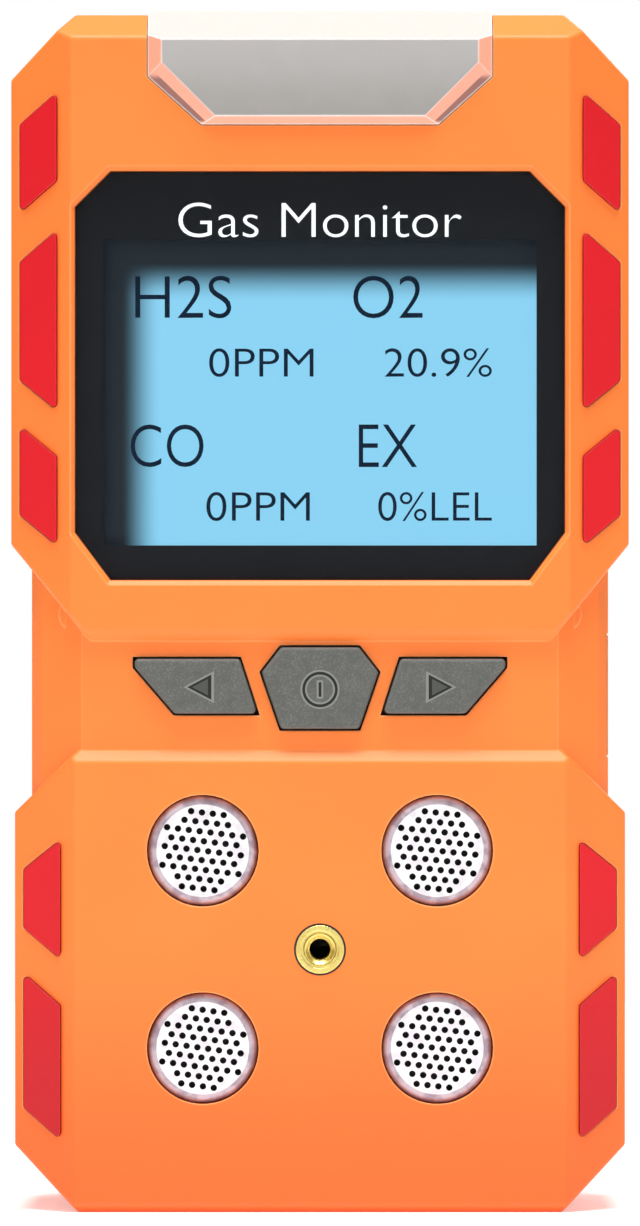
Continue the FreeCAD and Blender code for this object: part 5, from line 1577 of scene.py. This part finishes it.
class PerforatedCap:
    """A Geometry Nodes tree for a round steel cap: perforated face, rolled shoulder and skirt.

    HOLE_SIDES is the number of sides of a hole, and BEND_POINTS the number of steps over the shoulder.
    """

    HOLE_SIDES = 14
    BEND_POINTS = 10

    def __init__(self) -> None:
        """Draws up the tree."""
        sheet = ShapeSheet("perforated_cap")
        face_radius = sheet.size("Face radius")
        mesh_radius = sheet.size("Perforated radius")
        hole = sheet.size("Hole radius")
        pitch = sheet.size("Hole pitch")
        rows = sheet.size("Rows", "Int")
        tilt = sheet.size("Row tilt")
        thickness = sheet.size("Sheet")
        shoulder = sheet.size("Shoulder")
        skirt = sheet.size("Skirt")
        centre = sheet.size("Centre", "Vector")
        face_finish = sheet.size("Face finish", "Material")
        rim_finish = sheet.size("Rim finish", "Material")

        def placed(shape: Wire) -> Wire:
            """A shape stood up to face -Y, at the cap's place."""
            return sheet.node("GeometryNodeTransform", sockets={
                0: shape, "Translation": centre, "Rotation": (math.pi / 2, 0.0, 0.0)})

        spots = self._hole_spots(sheet, pitch, rows, tilt, mesh_radius - hole * 0.6)
        circle = circle_curve(sheet, hole, self.HOLE_SIDES)
        holes = sheet.node("GeometryNodeInstanceOnPoints", sockets={"Points": spots, "Instance": circle})
        holes = sheet.node("GeometryNodeRealizeInstances", sockets={0: holes})
        outline = circle_curve(sheet, face_radius, ROUND_SIDES)
        plate = sheet.node("GeometryNodeFillCurve", {"mode": "TRIANGLES"}, {0: sheet.join(outline, holes)})
        plate = sheet.node("GeometryNodeTransform", sockets={
            0: plate, "Translation": sheet.vector(z=thickness * -1.0)})
        lifted = sheet.node("GeometryNodeExtrudeMesh", {"mode": "FACES"},
                            {0: plate, "Offset Scale": thickness, "Individual": False})
        underside = sheet.node("GeometryNodeFlipFaces", sockets={0: plate})
        slab = sheet.node("GeometryNodeMergeByDistance", sockets={
            0: sheet.join(lifted, underside), "Distance": MERGE_REACH})
        rim = self._rim(sheet, face_radius, shoulder, skirt, thickness)
        self.sheet = sheet.finish(sheet.join(sheet.painted(placed(slab), face_finish),
                                             sheet.painted(placed(rim), rim_finish)))

    @staticmethod
    def _hole_spots(sheet: ShapeSheet, pitch: Wire, rows: Wire, tilt: Wire, reach: Wire) -> Wire:
        """The holes' middles, on a hexagonal grid within a circle.

        Args:
            sheet: The cap's tree.
            pitch: Spacing of the holes.
            rows: How many rows the grid has before it is cut round.
            tilt: How far the rows are turned.
            reach: How far from the middle a hole may lie.

        Returns:
            The points.
        """
        spread = (rows - 1.0) * pitch
        grid = sheet.node("GeometryNodeMeshGrid", sockets={
            "Size X": spread, "Size Y": spread * math.sqrt(0.75), "Vertices X": rows, "Vertices Y": rows})
        number = sheet.node("GeometryNodeInputIndex")
        stagger = ((number % rows) % 2.0) * pitch * 0.5
        grid = sheet.node("GeometryNodeSetPosition", sockets={0: grid, "Offset": sheet.vector(x=stagger)})
        place = sheet.node("GeometryNodeInputPosition")
        distance = sheet.node("ShaderNodeVectorMath", {"operation": "LENGTH"}, {0: place}, output="Value")
        kept = sheet.node("GeometryNodeDeleteGeometry", {"domain": "POINT"},
                          {0: grid, "Selection": distance > reach})
        return sheet.node("GeometryNodeTransform", sockets={0: kept, "Rotation": sheet.vector(z=tilt)})

    @classmethod
    def _rim(cls, sheet: ShapeSheet, face_radius: Wire, shoulder: Wire, skirt: Wire,
             thickness: Wire) -> Wire:
        """The rolled shoulder and the skirt, each a profile carried round the face.

        Args:
            sheet: The cap's tree.
            face_radius: Radius of the flat face.
            shoulder: Width and depth of the shoulder.
            skirt: How far the skirt reaches back from the face.
            thickness: Thickness of the sheet.

        Returns:
            The rim, closed but for its joint with the face.
        """
        path = circle_curve(sheet, face_radius, ROUND_SIDES)
        inner = shoulder - thickness

        def bend(start: Any, middle: Wire, end: Wire) -> Wire:
            """A curved profile."""
            return sheet.node("GeometryNodeCurveQuadraticBezier", sockets={
                "Resolution": cls.BEND_POINTS, "Start": start, "Middle": middle, "End": end})

        def run(start: Wire, end: Wire) -> Wire:
            """A straight profile."""
            return sheet.node("GeometryNodeCurvePrimitiveLine", sockets={"Start": start, "End": end})

        profiles = (
            bend((0.0, 0.0, 0.0), sheet.vector(shoulder, shoulder * 0.12), sheet.vector(shoulder, shoulder)),
            run(sheet.vector(shoulder, shoulder), sheet.vector(shoulder, skirt)),
            run(sheet.vector(shoulder, skirt), sheet.vector(inner, skirt)),
            run(sheet.vector(inner, skirt), sheet.vector(inner, shoulder)),
            bend(sheet.vector(inner, shoulder), sheet.vector(inner, thickness), sheet.vector(0.0, thickness)),
        )
        parts = [sheet.node("GeometryNodeCurveToMesh", sockets={0: path, 1: profile})
                 for profile in profiles]
        return sheet.node("GeometryNodeMergeByDistance", sockets={
            0: sheet.join(*parts), "Distance": MERGE_REACH})


@dataclass
class GasInlets(SubAssembly):
    """The perforated caps over the sensors, and what lies behind them. Sizes in millimetres.

    Attributes:
        cap_radius: Outer radius of a cap.
        shoulder: Width of its rolled shoulder.
        perforated: Radius of the perforated area.
        hole: Radius of a hole.
        pitch: Spacing of the holes.
        rows: How many rows of holes the grid has before it is cut round.
        thickness: Thickness of the sheet.
        tilts: How far each cap's rows are turned, in degrees.
        gases: What the four cells sense.
    """

    cap_radius: float = 5.95
    shoulder: float = 0.95
    perforated: float = 4.85
    hole: float = 0.36
    pitch: float = 1.18
    rows: int = 11
    thickness: float = 0.3
    tilts: tuple[float, ...] = (-7.0, -6.0, -8.0, -6.5)
    gases: tuple[str, ...] = ("combustible", "oxygen", "carbon_monoxide", "hydrogen_sulfide")

    def build(self) -> None:
        """Makes and dresses the group's pieces."""
        tree = PerforatedCap()
        for number, tilt in enumerate(self.tilts, start=1):
            node = f"inlet_cap_{number}"
            low, high = box_of(node)
            piece = tree.sheet.make(f"inlet_{number}", {
                "Face radius": (self.cap_radius - self.shoulder) * MM,
                "Perforated radius": self.perforated * MM,
                "Hole radius": self.hole * MM,
                "Hole pitch": self.pitch * MM,
                "Rows": self.rows,
                "Row tilt": math.radians(tilt),
                "Sheet": self.thickness * MM,
                "Shoulder": self.shoulder * MM,
                "Skirt": high.y - low.y,
                "Centre": ((low.x + high.x) / 2, low.y, (low.z + high.z) / 2),
                "Face finish": material_of(MESH_STEEL),
                "Rim finish": material_of(RIM_STEEL_SHADED),
            })
            outward(piece.data)
            smooth_by_angle(piece.data)
            self.seat(piece, "case", "cap_steel", replaces=[node])
        self.dress(FILTER_FELT, "dust_filters")
        self.dress(FOAM, "sensor_seals")
        self.dress(CELL_MOULDING, *[f"sensor_{gas}" for gas in self.gases])
        self.dress(GOLD, "sensor_pins")
        self.dress(BOARD, "sensor_board")


class ThreadTurns:
    """A Geometry Nodes tree for the turns of a thread inside a bore.

    TURN_POINTS is the number of points a turn, and CREST_SIDES the number of sides of its crest.
    """

    TURN_POINTS = 28
    CREST_SIDES = 4

    def __init__(self) -> None:
        """Draws up the tree."""
        sheet = ShapeSheet("thread_turns")
        radius = sheet.size("Bore radius")
        turns = sheet.size("Turns")
        length = sheet.size("Length")
        crest = sheet.size("Crest")
        start = sheet.size("Start", "Vector")
        finish = sheet.size("Finish", "Material")
        line = sheet.node("GeometryNodeCurveSpiral", sockets={
            "Resolution": self.TURN_POINTS, "Rotations": turns, "Start Radius": radius, "End Radius": radius,
            "Height": length})
        thread = sheet.node("GeometryNodeCurveToMesh", sockets={
            0: line, 1: circle_curve(sheet, crest, self.CREST_SIDES), "Fill Caps": True})
        placed = sheet.node("GeometryNodeTransform", sockets={
            0: thread, "Translation": start, "Rotation": (-math.pi / 2, 0.0, 0.0)})
        self.sheet = sheet.finish(sheet.painted(placed, finish))


@dataclass
class CalibrationSocket(SubAssembly):
    """Brass socket between the inlets, with the turns of its thread. Sizes in millimetres.

    Attributes:
        bore: Radius of its bore.
        pitch: Pitch of its thread.
        mouth: Depth of its bevelled mouth.
        crest: How far the thread's crest stands out to each side.
        run_out: How far the thread stops short of the bore's end.
        ring_depth: Thickness of the two rings on its face.
    """

    bore: float = 1.25
    pitch: float = 0.5
    mouth: float = 0.45
    crest: float = 0.13
    run_out: float = 0.3
    ring_depth: float = 0.03

    def build(self) -> None:
        """Makes and dresses the group's pieces."""
        self.dress(BRASS, "calibration_socket")
        low, high = box_of("calibration_socket")
        middle = ((low.x + high.x) / 2, (low.z + high.z) / 2)
        self._cut_thread(middle, low.y + self.mouth * MM, high.y)
        self._lay_rings(middle, (high.x - low.x) / 2, low.y)

    def _cut_thread(self, middle: tuple[float, float], start: float, end: float) -> None:
        """Winds the thread's turns along the bore.

        Args:
            middle: The bore's (x, z) middle.
            start: Where the thread starts, along Y.
            end: Where the bore ends.
        """
        length = end - start - self.run_out * MM
        piece = ThreadTurns().sheet.make("calibration_thread", {
            "Bore radius": self.bore * MM,
            "Turns": length / (self.pitch * MM),
            "Length": length,
            "Crest": self.crest * MM,
            "Start": (middle[0], start, middle[1]),
            "Finish": material_of(BRASS),
        })
        self.seat(piece, "case", "brass")

    def _lay_rings(self, middle: tuple[float, float], rim: float, face: float) -> None:
        """Lays the dark seal round the socket and a ring of painted shade for the fine groove in its face.

        Args:
            middle: The socket's (x, z) middle.
            rim: Its radius.
            face: Where its face is, along Y.
        """
        rings = (
            ("seal", rim - 0.02 * MM, rim + 0.2 * MM, 0.05, SEAL_RUBBER, "black_seal"),
            ("groove", rim - 0.92 * MM, rim - 0.80 * MM, -0.01, GROOVE_SHADE, "brass"),
        )
        for part, inner, outer, sink, finish, slot in rings:
            loops = [ring_loop(middle, outer), ring_loop(middle, inner)]
            ring = flat_plate(f"calibration_{part}", loops, face + sink * MM, self.ring_depth * MM)
            self.seat(ring, "case", slot, finish)


@dataclass
class AlarmBeacon(SubAssembly):
    """The frosted window across the top edge and the lamps behind it. Sizes in millimetres.

    Attributes:
        corner_run: How far the window's lower corners are cut across.
        corner_rise: How far they are cut up.
        brow: Height of the sloped brow above the flat front.
    """

    corner_run: float = 5.8
    corner_rise: float = 5.6
    brow: float = 3.3

    def build(self) -> None:
        """Dresses the window and the lamps."""
        low, high = box_of("alarm_window")
        cut = (self.corner_run * MM, self.corner_rise * MM)
        foot = high.x - self.corner_run * MM
        finish = FrostedWindow("alarm_window_frosted", low.z, high.z - self.brow * MM, foot, cut)
        self.dress(finish, "alarm_window")
        self.dress(LAMP_RED, "alarm_lights")


@dataclass
class Internals(SubAssembly):
    """Boards, battery, sounder and motor."""

    def build(self) -> None:
        """Dresses the inner pieces."""
        self.dress(BOARD, "main_board")
        self.dress(BLACK_MOULDING, "board_chips", "sounder")
        self.dress(SCREW_STEEL, "board_screws", "vibration_weight")
        self.dress(RIBBON_FILM, "board_ribbon")
        self.dress(FOIL, "battery")
        self.dress(FOAM, "battery_pads")
        self.dress(CAN_STEEL, "vibration_motor")


@dataclass
class ChargingPort(SubAssembly):
    """The charging socket in the side and its rubber cover."""

    def build(self) -> None:
        """Dresses the socket and its cover."""
        self.dress(CAN_STEEL, "charging_socket")
        self.dress(COVER_RUBBER, "charging_cover")


class GripRibs:
    """A Geometry Nodes tree for a row of round ribs of RIB_SIDES sides."""

    RIB_SIDES = 20

    def __init__(self) -> None:
        """Draws up the tree."""
        sheet = ShapeSheet("grip_ribs")
        count = sheet.size("Count", "Int")
        first = sheet.size("First", "Vector")
        step = sheet.size("Step", "Vector")
        length = sheet.size("Length")
        radius = sheet.size("Radius")
        finish = sheet.size("Finish", "Material")
        row = sheet.node("GeometryNodeMeshLine", {"mode": "OFFSET", "count_mode": "TOTAL"},
                         {"Count": count, "Start Location": first, "Offset": step})
        bar = sheet.node("GeometryNodeMeshCylinder", sockets={
            "Vertices": self.RIB_SIDES, "Radius": radius, "Depth": length}, output="Mesh")
        bar = sheet.node("GeometryNodeTransform", sockets={0: bar, "Rotation": (0.0, math.pi / 2, 0.0)})
        ribs = sheet.node("GeometryNodeInstanceOnPoints", sockets={"Points": row, "Instance": bar})
        self.sheet = sheet.finish(sheet.painted(ribs, finish))


@dataclass
class BeltClip(SubAssembly):
    """The sprung clip on the back. Sizes in millimetres.

    Attributes:
        screws: The tree that places screws.
        clip_screw: The clip screw.
        ribs: How many ribs the thumb end has.
        rib_radius: Radius of a rib.
        rib_margin: How far each rib ends short of the jaw's sides.
        lever_lean: How far the thumb end leans out.
        lever_foot: How far above the pin it starts.
        wire: Radius of the spring's wire.
        turns: Turns of the spring.
        turn_points: Points a turn.
    """

    screws: FastenerRow
    clip_screw: Fastener = Fastener(2.6, 1.3, 1.25, 0.8, 1.5, 5.0)
    ribs: int = 6
    rib_radius: float = 0.28
    rib_margin: float = 0.6
    lever_lean: float = 3.2
    lever_foot: float = 3.0
    wire: float = 0.3
    turns: float = 8.5
    turn_points: int = 16

    def build(self) -> None:
        """Makes and dresses the group's pieces."""
        self.dress(CLIP_STEEL, "clip_bracket", "clip_jaw")
        self.dress(SCREW_STEEL, "clip_pin")
        self._place_screws()
        self._rib_lever()
        self._wind_spring()

    def _place_screws(self) -> None:
        """Puts the two screws through the bracket."""
        low, high = box_of("clip_screws")
        head = self.clip_screw.head_radius * MM
        seat_y = high.y - self.clip_screw.head_height * MM
        spots = [((low.x + high.x) / 2, seat_y, z) for z in (low.z + head, high.z - head)]
        piece = self.screws.make("clip_screw_set", self.clip_screw, spots, 8, SCREW_STEEL)
        self.seat(piece, "case", "screw_steel", replaces=["clip_screws"])

    def _rib_lever(self) -> None:
        """Puts ribs across the thumb end of the jaw."""
        low, high = box_of("clip_jaw")
        _, pin_high = box_of("clip_pin")
        lever_z = high.z - 0.15 * MM
        lean = Vector((0.0, self.lever_lean * MM, lever_z - pin_high.z - self.lever_foot * MM))
        first = Vector((0.0, high.y - self.rib_radius * 0.55 * MM, lever_z)) - lean * 0.09
        piece = GripRibs().sheet.make("jaw_grip_ribs", {
            "Count": self.ribs,
            "First": tuple(first),
            "Step": tuple(lean * -0.085),
            "Length": high.x - low.x - 2 * self.rib_margin * MM,
            "Radius": self.rib_radius * MM,
            "Finish": material_of(CLIP_STEEL),
        })
        smooth_by_angle(piece.data)
        self.seat(piece, "jaw", "clip_steel")

    def _spring_path(self) -> list[Triple]:
        """The line of the spring's wire.

        Returns:
            The points of a leg on the bracket, the coil round the pin and a leg on the jaw.
        """
        low, high = box_of("clip_spring")
        pin_low, pin_high = box_of("clip_pin")
        wire = self.wire * MM
        y, z = (pin_low.y + pin_high.y) / 2, (pin_low.z + pin_high.z) / 2
        coil = z - low.z - wire
        start_x, end_x = low.x + wire, high.x - wire
        near, far = low.y + wire, high.y - wire
        pitch = (end_x - start_x) / self.turns
        path = [(start_x, near, high.z - 0.4 * MM), (start_x, (near + y - coil) / 2, z + 2.5 * MM)]
        for number in range(int(self.turns * self.turn_points) + 1):
            turned = number / self.turn_points
            angle = math.pi + math.tau * turned
            path.append((start_x + pitch * turned, y + coil * math.cos(angle), z + coil * math.sin(angle)))
        return path + [(end_x, (far + y + coil) / 2, z + 2.0 * MM), (end_x, far, z + 3.8 * MM)]

    def _wind_spring(self) -> None:
        """Winds the torsion spring on the pin, with one leg on the bracket and one on the jaw."""
        path = self._spring_path()
        curve = bpy.data.curves.new("clip_spring_wire", "CURVE")
        curve.dimensions = "3D"
        curve.bevel_depth = self.wire * MM
        curve.bevel_resolution = 4
        curve.use_fill_caps = True
        spline = curve.splines.new("NURBS")
        spline.points.add(len(path) - 1)
        for point, place in zip(spline.points, path):
            point.co = (*place, 1.0)
        spline.use_endpoint_u = True
        spline.order_u = 3
        spline.resolution_u = 3
        piece = add_object("clip_spring_wire", outward(mesh_of_curve("clip_spring_wire", curve)))
        smooth_by_angle(piece.data, 60.0)
        piece.data.materials.append(material_of(SCREW_STEEL))
        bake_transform(piece)
        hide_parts("clip_spring")
        LOG.info("made %s between case and jaw", piece.name)


# ---------------------------------------------------------------------------------------------- studio

@dataclass(frozen=True)
class SoftBox:
    """A rectangular soft light.

    Attributes:
        name: Its name.
        place: Where it stands, in metres.
        width: Its width, in metres.
        height: Its height, in metres.
        watts: Its power.
        colour: Its colour.
    """

    name: str
    place: Triple
    width: float
    height: float
    watts: float
    colour: Colour = WHITE

    def add(self, target: Vector) -> None:
        """Puts the light up.

        Args:
            target: The point that it is aimed at.
        """
        lamp = bpy.data.lights.new(self.name, "AREA")
        lamp.shape = "RECTANGLE"
        lamp.size = self.width
        lamp.size_y = self.height
        lamp.energy = self.watts
        lamp.color = self.colour
        holder = bpy.data.objects.new(self.name, lamp)
        holder.location = self.place
        aim = Vector(self.place) - target
        holder.rotation_euler = aim.to_track_quat("Z", "Y").to_euler()
        bpy.context.scene.collection.objects.link(holder)


@dataclass
class Studio:
    """Pale floor, soft lights and a camera square to the front.

    Attributes:
        floor_radius: The floor's radius, in metres.
        surround: How bright the light from all round is.
        lens: Focal length, in millimetres.
        sensor: Sensor size along the picture's long side, in millimetres.
        view_height: How much height the picture takes in at the front of the case, in metres.
        view_middle: The height of the picture's middle, in metres.
        focus_plane: The depth at which view_height holds, in metres.
        lights: The soft boxes.
    """

    floor_radius: float = 0.5
    surround: float = 0.17
    lens: float = 260.0
    sensor: float = 36.0
    view_height: float = 132.6 * MM
    view_middle: float = 64.7 * MM
    focus_plane: float = -13.5 * MM
    lights: tuple[SoftBox, ...] = (
        SoftBox("key_light", (-0.35, -0.75, 0.50), 0.5, 0.5, 2.3),
        SoftBox("fill_light", (0.55, -0.65, 0.25), 0.5, 0.6, 1.05),
        SoftBox("top_light", (0.0, -0.14, 0.74), 0.5, 0.25, 7.6),
        SoftBox("back_light", (0.25, 0.80, 0.45), 0.6, 0.5, 3.0),
    )

    def build(self) -> None:
        """Sets up the floor, the world, the lights and the camera."""
        self._lay_floor()
        self._set_world()
        target = Vector((0.0, 0.0, self.view_middle))
        for light in self.lights:
            light.add(target)
        self._aim_camera()
        settings = bpy.context.scene.view_settings
        settings.view_transform = "Standard"
        settings.look = "None"
        LOG.info("studio is up")

    def _lay_floor(self) -> None:
        """Lays a wide pale floor under the object."""
        shaped = bmesh.new()
        bmesh.ops.create_circle(shaped, cap_ends=True, segments=ROUND_SIDES, radius=self.floor_radius)
        mesh = bpy.data.meshes.new("studio_floor")
        shaped.to_mesh(mesh)
        shaped.free()
        floor = add_object("studio_floor", mesh)
        mesh.materials.append(material_of(StudioPaper()))

    def _set_world(self) -> None:
        """Surrounds the scene with even pale light, and a white ground behind the object."""
        world = bpy.data.worlds.new("studio_world")
        bpy.context.scene.world = world
        world.use_nodes = True
        sheet = NodeSheet(world.node_tree)
        seen = sheet.node("ShaderNodeLightPath", output="Is Camera Ray")
        even = sheet.node("ShaderNodeBackground", sockets={"Color": opaque(WHITE), "Strength": self.surround})
        white = sheet.node("ShaderNodeBackground", sockets={"Color": opaque(WHITE), "Strength": 1.0})
        mixed = sheet.node("ShaderNodeMixShader", sockets={0: seen, 1: even, 2: white})
        sheet.node("ShaderNodeOutputWorld", sockets={"Surface": mixed})

    def _aim_camera(self) -> None:
        """Puts the camera square to the front face."""
        camera = bpy.data.cameras.new("front_camera")
        camera.lens = self.lens
        camera.sensor_width = self.sensor
        distance = self.view_height * self.lens / self.sensor
        camera.clip_end = 50.0
        holder = bpy.data.objects.new("front_camera", camera)
        holder.location = (0.0, self.focus_plane - distance, self.view_middle)
        holder.rotation_euler = (math.pi / 2, 0.0, 0.0)
        bpy.context.scene.collection.objects.link(holder)
        bpy.context.scene.camera = holder


# ------------------------------------------------------------------------------------------------ main


def main() -> None:
    """Loads the frame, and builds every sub-assembly and the studio."""
    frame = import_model()
    logging.basicConfig(level=logging.INFO, format="%(name)s: %(message)s", stream=sys.stdout)
    Studio().build()
    screws = FastenerRow()
    groups: tuple[SubAssembly, ...] = (
        CaseShells(frame, screws),
        SideInserts(frame),
        DisplayUnit(frame),
        Keypad(frame),
        GasInlets(frame),
        CalibrationSocket(frame),
        AlarmBeacon(frame),
        Internals(frame),
        ChargingPort(frame),
        BeltClip(frame, screws),
    )
    for group in groups:
        group.build()


if __name__ == "__main__":
    main()
